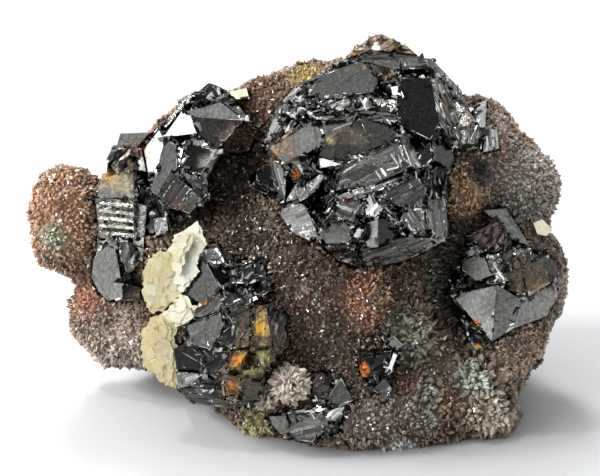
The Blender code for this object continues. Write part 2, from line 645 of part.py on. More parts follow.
def boolean(base, other, operation):
    """The base joined with the other or cut by it, as a new object in place of the base. The other stays."""
    step = base.modifiers.new(operation, "BOOLEAN")
    step.operation = operation
    step.object = other
    # The columns' walls meet at so narrow angles that EXACT leaves open edges here, and MANIFOLD doesn't.
    step.solver = "MANIFOLD"
    return link("solid", applied(base))


def joined(solids):
    """One solid from several that overlap, joined two by two."""
    while len(solids) > 1:
        paired = []
        for first, second in zip(solids[::2], solids[1::2]):
            paired.append(boolean(first, second, "UNION"))
            bpy.data.objects.remove(second)
        solids = paired + (solids[-1:] if len(solids) % 2 else [])
    return solids[0]


def finished(name, solid, material):
    """The named piece in its material."""
    largest_piece(solid.data)
    solid.name = name
    solid.data.name = name
    solid.data.materials.clear()
    solid.data.materials.append(material)
    return solid


def foot_cutter():
    """What lies below the flat foot."""
    wide, deep = CUTTER_WIDTH * MM, CUTTER_DEPTH * MM
    shape = bmesh.new()
    middle = Matrix.Translation((0, 0, -deep / 2))
    bmesh.ops.create_cube(shape, size=1.0, matrix=middle @ Matrix.Diagonal((wide, wide, deep, 1)))
    return link("foot", mesh_from(shape, "foot"))


def lobe(shape, matrix, widths):
    """Adds an ellipsoid with these half widths in millimetres."""
    stretched = Matrix.Diagonal([width * MM for width in widths]).to_4x4()
    bmesh.ops.create_icosphere(shape, subdivisions=3, radius=1, matrix=matrix @ stretched)


def quartz_lump():
    """The rounded lump, with low knobs all over, before crystals are let into it."""
    shape = bmesh.new()
    leaning = Matrix((ACROSS, UP, OUT)).transposed().to_4x4()
    for middle, widths in LOBES:
        lobe(shape, Matrix.Translation(placed(*on_grid(*middle))) @ leaning, widths)
    for middle, widths in BACK_LOBES:
        lobe(shape, Matrix.Translation(Vector(middle) * MM), widths)
    lump = link("lump", mesh_from(shape, "lump"))
    remesh = lump.modifiers.new("remesh", "REMESH")
    remesh.mode = "VOXEL"
    remesh.voxel_size = LUMP_VOXEL * MM
    mesh = applied(lump)
    moved = []
    for vertex in mesh.vertices:
        spot = vertex.co / MM / KNOB_WIDTH
        rise = noise.noise(spot) + 0.5 * noise.noise(spot * 2.1)
        moved.append(vertex.co + vertex.normal * (LUMP_SWELL + rise * KNOB_HEIGHT) * MM)
    for vertex, place in zip(mesh.vertices, moved):
        vertex.co = place
    lump = link("lump", mesh)
    fewer = lump.modifiers.new("fewer", "DECIMATE")
    fewer.ratio = LUMP_KEPT
    return link("lump", applied(lump))


def plain_material(name, colour, roughness, metallic=0.0, clear=0.0):
    """A material of one colour."""
    made = bpy.data.materials.new(name)
    made.use_nodes = True
    made.diffuse_color = colour
    shader = made.node_tree.nodes["Principled BSDF"]
    shader.inputs["Base Color"].default_value = colour
    shader.inputs["Roughness"].default_value = roughness
    shader.inputs["Metallic"].default_value = metallic
    shader.inputs["Transmission Weight"].default_value = clear
    return made


def crystal_groups():
    """Every group of crystals grown together, as (name, planes of its crystals, root, material)."""
    points = rosette(ROSETTE_MIDDLE, ROSETTE_RADIUS, ROSETTE_POINTS, 0.4)
    points += rosette(SMALL_ROSETTE_MIDDLE, SMALL_ROSETTE_RADIUS, SMALL_ROSETTE_POINTS, 1.1)
    groups = [("quartz_rosette", points, ROSETTE_ROOT, plain_material("rosette_quartz", PINKISH, 0.35))]
    dark = (
        ("front", FRONT_FACES + FRONT_CORES, FRONT_ROOT),
        ("small", SMALL_FACES, SMALL_ROOT),
        ("right", RIGHT_FACES + RIGHT_CORES, RIGHT_ROOT),
        ("main", MAIN_FACES + MAIN_CORES, MAIN_ROOT),
        ("upper_left", UPPER_LEFT_FACES + UPPER_LEFT_CORES, UPPER_LEFT_ROOT),
        ("left", LEFT_FACES + tuple(ribs()) + LEFT_CORES, LEFT_ROOT),
        ("lower", LOWER_FACES + LOWER_CORES, LOWER_ROOT),
        ("shoulder", SHOULDER_FACES, SHOULDER_ROOT),
    )
    for place, faces, root in dark:
        crystals = columns(faces, root)
        crystals += [loose_crystal(*each) for each in FLANK_CRYSTALS.get(place, ())]
        name = "sphalerite_" + place
        groups.append((name, crystals, root, plain_material(name, DARK, 0.2)))
    honey = plain_material("sphalerite_honey", HONEY, 0.15, clear=0.4)
    groups.append(("sphalerite_cap", columns(CAP_FACES, CAP_ROOT), CAP_ROOT, honey))
    brassy = (("pyrite_chip", CHIP_FACES, CHIP_ROOT), ("pyrite_left", BRASSY_FACES, BRASSY_ROOT))
    for name, faces, root in brassy:
        groups.append((name, columns(faces, root), root, plain_material(name, BRASS_YELLOW, 0.3, 1.0)))
    return groups


def root_trimmer(root):
    """What lies behind the depth at which a group of crystals ends."""
    wide, deep = CUTTER_WIDTH * MM, CUTTER_DEPTH * MM
    shape = bmesh.new()
    frame = Matrix((ACROSS, UP, OUT)).transposed().to_4x4()
    middle = Matrix.Translation(placed(0, 0, root + ROOT_TRIM - CUTTER_DEPTH / 2))
    bmesh.ops.create_cube(shape, size=1.0, matrix=middle @ frame @ Matrix.Diagonal((wide, wide, deep, 1)))
    return link("trimmer", mesh_from(shape, "trimmer"))


def near(first, second):
    """Whether the boxes round two groups of crystals come close to each other."""
    low_a, high_a = first
    low_b, high_b = second
    return bool((low_a < high_b + 1).all() and (low_b < high_a + 1).all())


def box_round(crystals):
    """The lowest and highest corner of the box round these crystals, in across, up and out."""
    corners = np.array([corner for planes in crystals for corner in corners_of(planes, 0)])
    return corners.min(axis=0), corners.max(axis=0)


def stand_on_origin(pieces):
    """Moves the whole so that the middle of its foot's box is at the origin."""
    places = np.array([vertex.co for piece in pieces for vertex in piece.data.vertices])
    middle = (places.min(axis=0) + places.max(axis=0)) / 2
    for piece in pieces:
        piece.data.transform(Matrix.Translation((-middle[0], -middle[1], -places[:, 2].min())))


def less(solid, cutters):
    """The solid less the cutters."""
    for cutter in cutters:
        solid = boolean(solid, cutter, "DIFFERENCE")
    return solid


def crystal_pieces(foot):
    """Every group of crystals, let into the groups before it, and the sockets needed, each with its box."""
    pieces = []
    sockets = []
    for name, crystals, root, material in crystal_groups():
        box = box_round(crystals)
        trimmers = [root_trimmer(root), root_trimmer(root - GAP)]
        neighbours = [socket for socket, other_box in sockets if near(box, other_box)]
        solid = joined([convex_solid(planes) for planes in crystals])
        pieces.append(finished(name, less(solid, trimmers[:1] + neighbours + [foot]), material))
        socket = less(joined([convex_solid(planes, GAP) for planes in crystals]), trimmers[1:])
        sockets.append((socket, box))
        for trimmer in trimmers:
            bpy.data.objects.remove(trimmer)
    return pieces, sockets


def calcite(sockets, foot):
    """The calcite blades and the core they grow from, let into the crystals, and the socket they need."""
    core = columns(BLADE_CORE, BLADE_ROOT)
    box = box_round(core)
    neighbours = [socket for socket, other_box in sockets if near(box, other_box)]
    solid = joined([convex_solid(planes) for planes in core] + [blade(*each) for each in BLADES])
    material = plain_material("calcite", CREAM, 0.4)
    piece = finished("calcite_blades", less(solid, neighbours + [foot]), material)
    grown = [convex_solid(planes, GAP) for planes in core] + [blade(*each, GAP) for each in BLADES]
    return piece, joined(grown)


def main():
    for old in list(bpy.data.objects):
        bpy.data.objects.remove(old)
    foot = foot_cutter()
    pieces, sockets = crystal_pieces(foot)
    blades, blade_socket = calcite(sockets, foot)
    pieces.append(blades)
    helpers = [socket for socket, _ in sockets] + [blade_socket, foot]
    lump = less(quartz_lump(), helpers)
    pieces.append(finished("quartz_matrix", lump, plain_material("drusy_quartz", QUARTZ_BROWN, 0.6)))
    for helper in helpers:
        bpy.data.objects.remove(helper)
    stand_on_origin(pieces)


main()
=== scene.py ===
"""Finishes a sphalerite specimen: faceted dark clusters, drusy quartz, calcite sheets and rosettes."""

import math
import random

import bmesh
import bpy
import numpy as np
from bpy.props import FloatProperty, FloatVectorProperty, IntProperty, PointerProperty
from mathutils import Matrix, Vector, noise
from mathutils.bvhtree import BVHTree
from mathutils.geometry import delaunay_2d_cdt


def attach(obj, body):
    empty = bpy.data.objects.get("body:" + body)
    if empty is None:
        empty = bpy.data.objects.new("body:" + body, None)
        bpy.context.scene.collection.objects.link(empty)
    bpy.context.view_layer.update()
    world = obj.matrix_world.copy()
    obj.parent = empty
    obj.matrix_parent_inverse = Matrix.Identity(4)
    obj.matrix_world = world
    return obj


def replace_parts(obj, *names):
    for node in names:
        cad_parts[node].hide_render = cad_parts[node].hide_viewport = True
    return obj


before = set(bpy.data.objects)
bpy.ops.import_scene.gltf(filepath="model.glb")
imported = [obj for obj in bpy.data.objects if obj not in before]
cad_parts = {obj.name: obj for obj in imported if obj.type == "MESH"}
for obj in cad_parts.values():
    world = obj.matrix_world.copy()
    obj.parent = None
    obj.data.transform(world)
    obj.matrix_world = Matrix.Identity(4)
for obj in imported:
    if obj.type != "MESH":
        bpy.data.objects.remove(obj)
for startup in ("Cube", "Camera", "Light"):
    if startup in bpy.data.objects:
        bpy.data.objects.remove(bpy.data.objects[startup])
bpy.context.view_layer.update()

bl_info = {
    "name": "Sphalerite Specimen",
    "version": (1, 0, 0),
    "blender": (4, 5, 0),
    "location": "View3D > Sidebar > Specimen",
    "description": "Finishes a sphalerite specimen on drusy quartz",
    "category": "Object",
}

MM = 0.001
GRID_STEP = 0.147
GRID_MIDDLE = 295
GRID_FOOT = 391.7
LEAN = math.radians(25)
ACROSS = Vector((1, 0, 0))
UP = Vector((0, math.sin(LEAN), math.cos(LEAN)))
OUT = Vector((0, -math.cos(LEAN), math.sin(LEAN)))
GRID_SHIFT = Vector((0.338, 1.019, 0.0))

CLUSTERS = (
    "sphalerite_main",
    "sphalerite_upper_left",
    "sphalerite_left",
    "sphalerite_lower",
    "sphalerite_front",
    "sphalerite_right",
    "sphalerite_small",
    "sphalerite_shoulder",
)

# Painted brightness of each kind of face, for the light it reflects: from dark glass to a painted highlight.
PAINTED_LUSTRE = {
    "black": 0.012,
    "deep": 0.028,
    "dark": 0.045,
    "dim": 0.075,
    "gray": 0.11,
    "mid": 0.145,
    "soft": 0.18,
    "pale": 0.25,
    "light": 0.36,
    "bright": 0.5,
    "white": 0.95,
}
# How far apart the outlines of two facets lie, and how wide the worn strip along a face's edges is, both in
# millimetres.
FACET_GAP = 0.02
RING_WIDTH = 0.11

# Looks of single faces: place on the grid, finish, way of its ribs in degrees, and painted lustre.
FACE_LOOKS = (
    (345, 85, "plain", 0, "dim"),
    (395, 60, "ribbed", 5, "gray"),
    (385, 73, "broken", 0, "dark"),
    (390, 82, "broken", 0, "gray"),
    (395, 92, "plain", 0, "white"),
    (416, 110, "plain", 0, "black"),
    (444, 110, "broken", 100, "pale"),
    (440, 150, "plain", 0, "gray"),
    (450, 92, "ribbed", 60, "pale"),
    (312, 112, "broken", 0, "pale"),
    (338, 104, "broken", 0, "pale"),
    (362, 106, "broken", 0, "pale"),
    (385, 108, "ribbed", 70, "gray"),
    (348, 117, "broken", 0, "gray"),
    (297, 142, "plain", 0, "mid"),
    (338, 126, "plain", 0, "gray"),
    (344, 140, "plain", 0, "dark"),
    (378, 131, "plain", 0, "dark"),
    (372, 166, "ribbed", 30, "dim"),
    (409, 155, "ribbed", 115, "bright"),
    (415, 145, "plain", 0, "dark"),
    (372, 190, "ribbed", 28, "mid"),
    (402, 190, "ribbed", 28, "mid"),
    (369, 205, "broken", 0, "white"),
    (391, 212, "plain", 0, "white"),
    (369, 235, "plain", 0, "pale"),
    (387, 230, "plain", 0, "dark"),
    (356, 233, "broken", 0, "white"),
    (336, 232, "plain", 0, "soft"),
    (346, 208, "broken", 0, "pale"),
    (325, 205, "broken", 0, "black"),
    (327, 164, "plain", 0, "white"),
    (301, 168, "broken", 0, "gray"),
    (278, 178, "ribbed", 100, "pale"),
    (294, 192, "ribbed", 60, "pale"),
    (310, 186, "ribbed", 55, "bright"),
    (298, 222, "ribbed", 12, "light"),
    (436, 216, "ribbed", 85, "soft"),
    (412, 220, "ribbed", 117, "soft"),
    (435, 183, "broken", 0, "dark"),
    (400, 249, "ribbed", 35, "bright"),
    (342, 253, "broken", 0, "soft"),
    (290, 120, "ribbed", 50, "white"),
    (276, 128, "ribbed", 55, "white"),
    (298, 114, "broken", 0, "white"),
    (293, 94, "broken", 0, "bright"),
    (180, 124, "plain", 0, "white"),
    (156, 150, "plain", 0, "white"),
    (212, 110, "plain", 0, "mid"),
    (216, 132, "plain", 0, "deep"),
    (243, 134, "broken", 0, "dark"),
    (200, 155, "plain", 0, "black"),
    (180, 153, "plain", 0, "white"),
    (210, 165, "plain", 0, "white"),
    (168, 160, "plain", 0, "gray"),
    (180, 105, "ribbed", 45, "bright"),
    (240, 108, "broken", 0, "gray"),
    (178, 192, "ribbed", 55, "gray"),
    (157, 215, "broken", 0, "gray"),
    (161, 225, "ribbed", 70, "bright"),
    (130, 139, "plain", 0, "gray"),
    (126, 158, "broken", 0, "dark"),
    (143, 160, "ribbed", 80, "pale"),
    (115, 187, "plain", 0, "soft"),
    (134, 182, "plain", 0, "white"),
    (95, 195, "plain", 0, "white"),
    (118, 205, "ribbed", 172, "bright"),
    (105, 275, "plain", 0, "pale"),
    (125, 258, "broken", 0, "pale"),
    (130, 293, "plain", 0, "dark"),
    (208, 254, "ribbed", 10, "gray"),
    (204, 285, "plain", 0, "gray"),
    (218, 270, "plain", 0, "black"),
    (206, 332, "plain", 0, "dim"),
    (210, 306, "ribbed", 45, "gray"),
    (190, 360, "plain", 0, "deep"),
    (186, 376, "ribbed", 15, "pale"),
    (200, 398, "ribbed", 5, "gray"),
    (240, 285, "broken", 0, "gray"),
    (238, 330, "broken", 0, "gray"),
    (262, 330, "ribbed", 80, "gray"),
    (278, 330, "broken", 0, "gray"),
    (265, 359, "broken", 0, "gray"),
    (236, 360, "broken", 0, "gray"),
    (254, 374, "broken", 0, "dim"),
    (232, 388, "broken", 0, "gray"),
    (250, 390, "plain", 0, "dim"),
    (341, 392, "plain", 0, "gray"),
    (320, 385, "broken", 0, "dark"),
    (334, 413, "broken", 0, "white"),
    (310, 428, "ribbed", 15, "pale"),
    (279, 424, "plain", 0, "soft"),
    (489, 238, "broken", 0, "dark"),
    (510, 230, "plain", 0, "gray"),
    (478, 266, "plain", 0, "mid"),
    (475, 300, "plain", 0, "pale"),
    (505, 308, "plain", 0, "pale"),
    (535, 307, "plain", 0, "pale"),
    (508, 261, "broken", 0, "gray"),
    (522, 257, "ribbed", 50, "soft"),
    (537, 276, "ribbed", 60, "pale"),
    (513, 283, "ribbed", 55, "dim"),
    (476, 334, "broken", 0, "gray"),
    (374, 362, "broken", 0, "dark"),
    (392, 360, "plain", 0, "white"),
    (382, 388, "plain", 0, "gray"),
    (397, 343, "plain", 0, "pale"),
    (375, 44, "broken", 0, "dark"),
    (395, 50, "broken", 0, "dark"),
    (470, 128, "ribbed", 80, "bright"),
    (482, 115, "ribbed", 75, "white"),
    (474, 140, "broken", 0, "pale"),
)

# Looks of the faces that no place is given for: middle on the grid, radius in millimetres, finish, way and
# painted lustre.
ZONES = (
    (115, 218, 3.8, "ribbed", 172, "bright"),
    (286, 112, 4.0, "ribbed", 50, "white"),
    (300, 224, 2.6, "ribbed", 12, "bright"),
    (425, 228, 3.2, "ribbed", 115, "soft"),
    (385, 250, 5.0, "ribbed", 30, "pale"),
    (340, 106, 6.0, "broken", 0, "gray"),
    (476, 125, 4.0, "ribbed", 80, "bright"),
    (520, 262, 4.0, "ribbed", 55, "gray"),
    (245, 290, 5.0, "broken", 0, "dark"),
    (225, 335, 6.0, "ribbed", 30, "dim"),
    (165, 220, 3.0, "ribbed", 70, "pale"),
)

# Thin ridges with a painted highlight along them: both ends on the grid, width there, and painted lustre.
RIDGES = (
    (332, 131, 353, 123, 1.8, "bright"),
    (323, 176, 310, 191, 2.2, "bright"),
    (300, 172, 294, 183, 1.4, "light"),
    (299, 227, 312, 221, 1.5, "bright"),
    (299, 233, 314, 230, 2.0, "white"),
    (311, 215, 318, 214, 1.2, "bright"),
    (299, 211, 305, 208, 2.2, "bright"),
    (323, 223, 333, 211, 1.0, "pale"),
    (380, 169, 385, 177, 2.6, "white"),
    (375, 172, 380, 180, 1.5, "bright"),
    (386, 171, 397, 168, 2.0, "white"),
    (398, 146, 404, 163, 1.8, "bright"),
    (402, 146, 410, 168, 2.2, "white"),
    (397, 155, 400, 168, 1.4, "bright"),
    (390, 155, 397, 166, 2.4, "light"),
    (388, 192, 409, 180, 1.0, "pale"),
    (383, 188, 413, 174, 1.0, "light"),
    (395, 199, 414, 190, 1.0, "pale"),
    (404, 209, 413, 223, 1.4, "bright"),
    (408, 209, 414, 218, 1.1, "light"),
    (416, 202, 420, 224, 1.6, "bright"),
    (419, 199, 424, 225, 1.4, "light"),
    (425, 211, 432, 227, 1.2, "bright"),
    (425, 226, 431, 234, 2.2, "white"),
    (397, 250, 402, 255, 2.2, "white"),
    (405, 247, 412, 253, 1.8, "bright"),
    (413, 255, 443, 232, 1.2, "pale"),
    (407, 258, 434, 237, 1.0, "soft"),
    (368, 240, 377, 234, 1.0, "bright"),
    (377, 200, 390, 214, 2.2, "bright"),
    (366, 231, 374, 227, 1.0, "bright"),
    (350, 228, 357, 226, 1.6, "white"),
    (348, 234, 355, 232, 1.6, "white"),
    (430, 141, 439, 126, 1.5, "bright"),
    (352, 61, 376, 64, 1.3, "light"),
    (376, 64, 400, 70, 1.3, "light"),
    (492, 262, 510, 290, 1.6, "bright"),
    (498, 272, 504, 280, 2.6, "white"),
    (537, 255, 541, 272, 1.5, "bright"),
    (531, 265, 536, 278, 1.4, "light"),
    (528, 295, 545, 283, 2.2, "bright"),
    (502, 248, 500, 260, 1.6, "light"),
    (205, 245, 240, 239, 1.4, "light"),
    (219, 252, 224, 262, 2.2, "white"),
    (205, 260, 219, 287, 1.2, "pale"),
    (254, 292, 267, 305, 2.6, "pale"),
    (286, 332, 280, 355, 1.2, "pale"),
    (196, 300, 203, 293, 1.4, "pale"),
    (183, 352, 200, 362, 1.2, "pale"),
    (210, 160, 222, 154, 1.8, "bright"),
    (215, 168, 220, 158, 1.4, "white"),
    (280, 126, 292, 112, 1.8, "bright"),
    (312, 113, 330, 108, 1.2, "light"),
    (335, 104, 352, 100, 1.2, "bright"),
    (350, 112, 372, 108, 1.2, "light"),
    (360, 99, 366, 111, 1.6, "bright"),
    (470, 140, 480, 118, 1.8, "white"),
    (478, 138, 484, 124, 1.6, "bright"),
)
# How far a ridge's foot and its crest stand from the face, in millimetres.
RIDGE_FOOT = 0.45
RIDGE_CREST = 0.1

# Stains of the dark crystals, and a few painted highlights in near white: middle on the grid, half its width
# and height there, colour, and strength.
BLOTCHES = (
    (297, 172, 6, 11, "umber", 0.9),
    (297, 173, 3.5, 9, "orange", 1.0),
    (275, 152, 9, 16, "tan", 0.9),
    (286, 139, 15, 8, "tan", 0.7),
    (347, 202, 3, 4, "red", 1.0),
    (350, 136, 26, 15, "olive", 0.8),
    (331, 142, 9, 6, "umber", 0.9),
    (330, 142, 7, 5, "lime", 0.5),
    (346, 136, 11, 7, "rust", 1.0),
    (336, 230, 20, 12, "olive", 0.8),
    # Painted highlights on the honey cap.
    (376, 45, 5, 8, "painted_highlight", 1.0),
    (360, 48, 4, 3, "painted_highlight", 0.5),
    (384, 78, 11, 7, "umber", 0.9),
    (391, 76, 3, 3, "orange", 0.8),
    (372, 66, 20, 6, "umber", 0.9),
    (446, 104, 5, 16, "umber", 0.9),
    (450, 132, 5, 14, "umber", 0.9),
    (425, 65, 10, 6, "umber", 0.9),
    (240, 136, 24, 18, "brown", 1.0),
    (222, 162, 16, 18, "brown", 1.0),
    (222, 157, 3, 4, "red", 1.0),
    # Painted highlight along a bright bar.
    (213, 157, 4, 5, "painted_highlight", 0.8),
    (208, 166, 4, 6, "painted_highlight", 0.8),
    (204, 175, 4, 5, "painted_highlight", 0.8),
    (137, 148, 14, 14, "rust", 0.9),
    (126, 160, 8, 8, "rust", 0.9),
    (116, 183, 24, 20, "straw", 0.75),
    (104, 176, 10, 9, "honey", 0.9),
    (114, 218, 26, 26, "pearl", 0.7),
    (132, 295, 12, 8, "brown", 1.0),
    (180, 205, 12, 7, "brown", 1.0),
    (262, 345, 38, 44, "umber", 0.85),
    (236, 384, 24, 24, "umber", 0.7),
    (262, 322, 9, 20, "straw", 0.9),
    (261, 326, 6, 15, "amber", 1.0),
    (265, 357, 9, 10, "lime", 1.0),
    (236, 361, 11, 12, "amber", 0.9),
    (234, 358, 7, 8, "orange", 1.0),
    (252, 372, 15, 5, "lime", 0.8),
    (231, 388, 8, 14, "amber", 0.7),
    (232, 384, 4, 8, "orange", 0.9),
    (206, 303, 5, 2, "orange", 0.8),
    (320, 385, 13, 13, "brown", 1.0),
    (488, 234, 24, 16, "brown", 1.0),
    (526, 274, 28, 24, "umber", 0.9),
    (538, 288, 10, 6, "honey", 0.5),
    (492, 302, 9, 18, "umber", 0.6),
    (476, 323, 4, 5, "orange", 1.0),
    (478, 346, 7, 4, "amber", 0.9),
    (364, 368, 7, 9, "orange", 0.9),
    (385, 258, 40, 10, "brown", 0.6),
    (470, 128, 6, 12, "tan", 0.8),
)
TINTS = {
    "brown": (0.045, 0.023, 0.014),
    "umber": (0.085, 0.055, 0.026),
    "tan": (0.17, 0.1, 0.05),
    "olive": (0.03, 0.026, 0.012),
    "straw": (0.34, 0.27, 0.13),
    "honey": (0.32, 0.16, 0.03),
    "lime": (0.36, 0.32, 0.09),
    "amber": (0.58, 0.3, 0.02),
    "orange": (0.6, 0.14, 0.01),
    "red": (0.2, 0.008, 0.006),
    "rust": (0.1, 0.04, 0.025),
    "pearl": (0.5, 0.48, 0.4),
    # Near white of the painted highlights.
    "painted_highlight": (0.85, 0.84, 0.78),
}
BARE_TINT = (0.02, 0.015, 0.012)

# How each finish breaks up a face into facets, in millimetres: their size along and across the ribs, how deep
# they lie, how steeply they lean, and how far their borders wave. A ribbed face takes two of them from the
# settings.
FINISHES = {
    "plain": (7.0, 5.0, 0.04, 0.015, 0.0),
    "ribbed": (5.0, None, None, 0.16, 0.12),
    "broken": (1.8, 0.55, 0.4, 0.3, 0.3),
    "cleaved": (3.4, 2.4, 0.07, 0.03, 0.12),
}

# Stains of the druse: place on the grid, radius in millimetres, and the colours of the points' feet and tips.
# The dark zone under the large crystal is painted shadow as well as stain.
STAINS = (
    ((60, 215, 9), 8.5, (0.25, 0.11, 0.067), (0.46, 0.28, 0.17)),
    ((50, 236, 9), 2.2, (0.14, 0.14, 0.097), (0.43, 0.44, 0.32)),
    ((85, 300, 8), 4.0, (0.29, 0.11, 0.06), (0.56, 0.28, 0.17)),
    ((115, 350, 7), 7.0, (0.13, 0.086, 0.066), (0.5, 0.4, 0.33)),
    ((265, 92, 8), 6.0, (0.063, 0.026, 0.013), (0.19, 0.1, 0.054)),
    ((305, 74, 9), 2.6, (0.21, 0.1, 0.021), (0.48, 0.39, 0.14)),
    # Under the large crystal: dark stain and painted shadow.
    ((330, 270, 20), 12.0, (0.027, 0.012, 0.007), (0.14, 0.079, 0.047)),
    ((368, 298, 23), 4.6, (0.13, 0.048, 0.027), (0.54, 0.27, 0.16)),
    ((383, 300, 22), 2.0, (0.16, 0.09, 0.046), (0.49, 0.34, 0.18)),
    ((300, 320, 22), 6.0, (0.03, 0.016, 0.0083), (0.17, 0.097, 0.056)),
    ((447, 290, 12), 5.0, (0.025, 0.026, 0.021), (0.15, 0.15, 0.12)),
    ((232, 185, 11), 6.0, (0.013, 0.007, 0.005), (0.065, 0.036, 0.023)),
    ((460, 190, 15), 5.0, (0.21, 0.11, 0.06), (0.95, 0.63, 0.35)),
    ((515, 150, 12), 7.0, (0.15, 0.1, 0.078), (0.66, 0.51, 0.42)),
    ((508, 148, 13), 2.4, (0.14, 0.049, 0.026), (0.5, 0.24, 0.14)),
    ((535, 190, 10), 7.0, (0.12, 0.1, 0.088), (0.55, 0.49, 0.43)),
    ((476, 380, 20), 3.6, (0.16, 0.18, 0.14), (0.64, 0.73, 0.6)),
    ((415, 337, 20), 4.4, (0.076, 0.069, 0.047), (0.39, 0.36, 0.26)),
    ((420, 405, 20), 4.4, (0.079, 0.081, 0.061), (0.38, 0.38, 0.31)),
    ((406, 382, 20), 2.2, (0.11, 0.029, 0.018), (0.36, 0.17, 0.12)),
    ((451, 405, 18), 3.0, (0.073, 0.026, 0.011), (0.29, 0.15, 0.073)),
    ((492, 417, 19), 4.4, (0.19, 0.15, 0.096), (0.59, 0.51, 0.41)),
    ((525, 345, 15), 7.0, (0.17, 0.11, 0.07), (0.74, 0.56, 0.41)),
    ((560, 290, 8), 3.0, (0.23, 0.15, 0.095), (0.7, 0.55, 0.42)),
    ((385, 428, 21), 6.0, (0.055, 0.044, 0.036), (0.3, 0.23, 0.18)),
    ((400, 450, 18), 2.4, (0.41, 0.42, 0.38), (0.95, 0.95, 0.95)),
    ((260, 425, 16), 3.4, (0.16, 0.14, 0.048), (0.55, 0.5, 0.23)),
    ((483, 172, 13.5), 2.0, (0.013, 0.0095, 0.0065), (0.067, 0.054, 0.042)),
    ((250, 235, 17), 4.5, (0.014, 0.009, 0.006), (0.086, 0.061, 0.043)),
)
# How much the facets of a quartz point differ in painted brightness: by how far out it stands, in metres, and
# on a knob. Further in, its foot and its tip differ less in colour too.
CALM_DEPTHS = (0.010, 0.014)
CALM_SHARES = (0.6, 1.0)
KNOB_CALM = 0.6
SOFT_FEET = 0.22
# Patches of the back, which begin this deep in millimetres: redder where a broad wave is high, and grayer
# where it is low.
BACK_STAINS = (
    (1, (0.13, 0.05, 0.028), (0.42, 0.21, 0.13)),
    (-1, (0.1, 0.085, 0.07), (0.42, 0.37, 0.31)),
)
SEEN_DEPTH = 8
PLAIN_STAIN = ((0.048, 0.032, 0.021), (0.26, 0.18, 0.12))

# Knobs of larger points: place on the grid, radius in millimetres, and how much longer its points are.
KNOBS = (
    ((476, 380, 15), 4.4, 1.6),
    ((415, 337, 15), 5.0, 1.5),
    ((420, 405, 16), 5.0, 1.5),
    ((492, 417, 15), 5.2, 1.45),
    ((447, 365, 13), 4.0, 1.4),
    ((378, 415, 17), 5.0, 1.4),
    ((452, 425, 14), 4.4, 1.4),
)
# How many of the points on a knob are kept, and how much wider they are.
KNOB_SHARE = 0.62
KNOB_WIDTH = 1.35

# Calcite sheets: how far out they are and how they lean, how pale they are, and their outline on the grid.
BLADES = (
    (
        (21.0, 0.15, 0.12),
        0.9,
        (
            (191, 226), (198, 221), (203, 233), (203, 240), (194, 251), (191, 262), (189, 268), (195, 278),
            (184, 292), (173, 286), (167, 264), (167, 251), (174, 246), (174, 235), (183, 231),
        ),
    ),
    (
        (21.4, -0.12, 0.06),
        0.1,
        (
            (146, 265), (153, 255), (160, 250), (169, 252), (176, 270), (182, 293), (172, 302), (166, 308),
            (154, 314), (145, 301), (143, 284),
        ),
    ),
    (
        (22.4, 0.05, 0.15),
        0.6,
        ((163, 315), (182, 294), (191, 306), (201, 307), (193, 316), (189, 322), (176, 327)),
    ),
    (
        (22.0, -0.05, 0.05),
        0.0,
        (
            (150, 318), (166, 311), (177, 325), (174, 336), (177, 348), (177, 372), (177, 388), (169, 386),
            (166, 377), (153, 370), (146, 355), (142, 335),
        ),
    ),
    ((22.2, 0.05, 0.1), 0.7, ((172, 240), (186, 232), (193, 236), (184, 256), (180, 276), (172, 268))),
)

ROSETTES = (
    ((290, 384, 21.4), 3.6, 120),
    ((267, 397, 20.0), 2.5, 48),
)
GOLDEN_TURN = math.pi * (3 - math.sqrt(5))


class SpecimenSettings(bpy.types.PropertyGroup):
    """Sizes and colours of the specimen's finish."""

    rib_pitch: FloatProperty(
        name="Rib Pitch", description="Distance between growth ribs", default=0.4 * MM, unit="LENGTH"
    )
    rib_depth: FloatProperty(
        name="Rib Depth", description="How deep the growth ribs are", default=0.07 * MM, unit="LENGTH"
    )
    druse_spacing: FloatProperty(
        name="Druse Spacing", description="Distance between the small quartz points", default=0.46 * MM,
        unit="LENGTH",
    )
    druse_length: FloatProperty(
        name="Druse Length", description="Length of the small quartz points", default=0.78 * MM, unit="LENGTH"
    )
    druse_sink: FloatProperty(
        name="Druse Sink", description="How far the druse's feet lie under the lump's surface",
        default=0.5 * MM, unit="LENGTH",
    )
    ground_sink: FloatProperty(
        name="Ground Sink", description="How far the ground between the points lies under the lump's surface",
        default=0.62 * MM, unit="LENGTH",
    )
    druse_waves: FloatProperty(
        name="Druse Waves", description="How uneven the druse is", default=0.5 * MM, unit="LENGTH"
    )
    druse_seed: IntProperty(name="Druse Seed", description="Changes how the points stand", default=5)
    honey: FloatVectorProperty(
        name="Honey", description="Colour of the clear brown crystal", default=(0.15, 0.085, 0.03),
        subtype="COLOR", size=3,
    )
    cream: FloatVectorProperty(
        name="Cream", description="Colour of the calcite", default=(0.52, 0.45, 0.26), subtype="COLOR", size=3
    )
    brass: FloatVectorProperty(
        name="Brass", description="Colour of the pyrite", default=(0.8, 0.77, 0.6), subtype="COLOR", size=3
    )
    rosette_colour: FloatVectorProperty(
        name="Rosette", description="Colour of the rosette's quartz", default=(0.45, 0.39, 0.33),
        subtype="COLOR", size=3,
    )
    floor_size: FloatProperty(name="Floor Size", description="Width of the floor", default=4.0, unit="LENGTH")


def settings():
    """The specimen's settings in this scene."""
    return bpy.context.scene.specimen


def spot(right, down, out):
    """A place on the drawing grid, in the part's frame, in metres."""
    place = ACROSS * (right - GRID_MIDDLE) * GRID_STEP + UP * (GRID_FOOT - down) * GRID_STEP + OUT * out
    return (place - GRID_SHIFT) * MM


def new_object(name, mesh, material):
    """A new object of the specimen with this mesh and material."""
    mesh.materials.clear()
    mesh.materials.append(material)
    made = bpy.data.objects.new(name, mesh)
    bpy.context.scene.collection.objects.link(made)
    return made


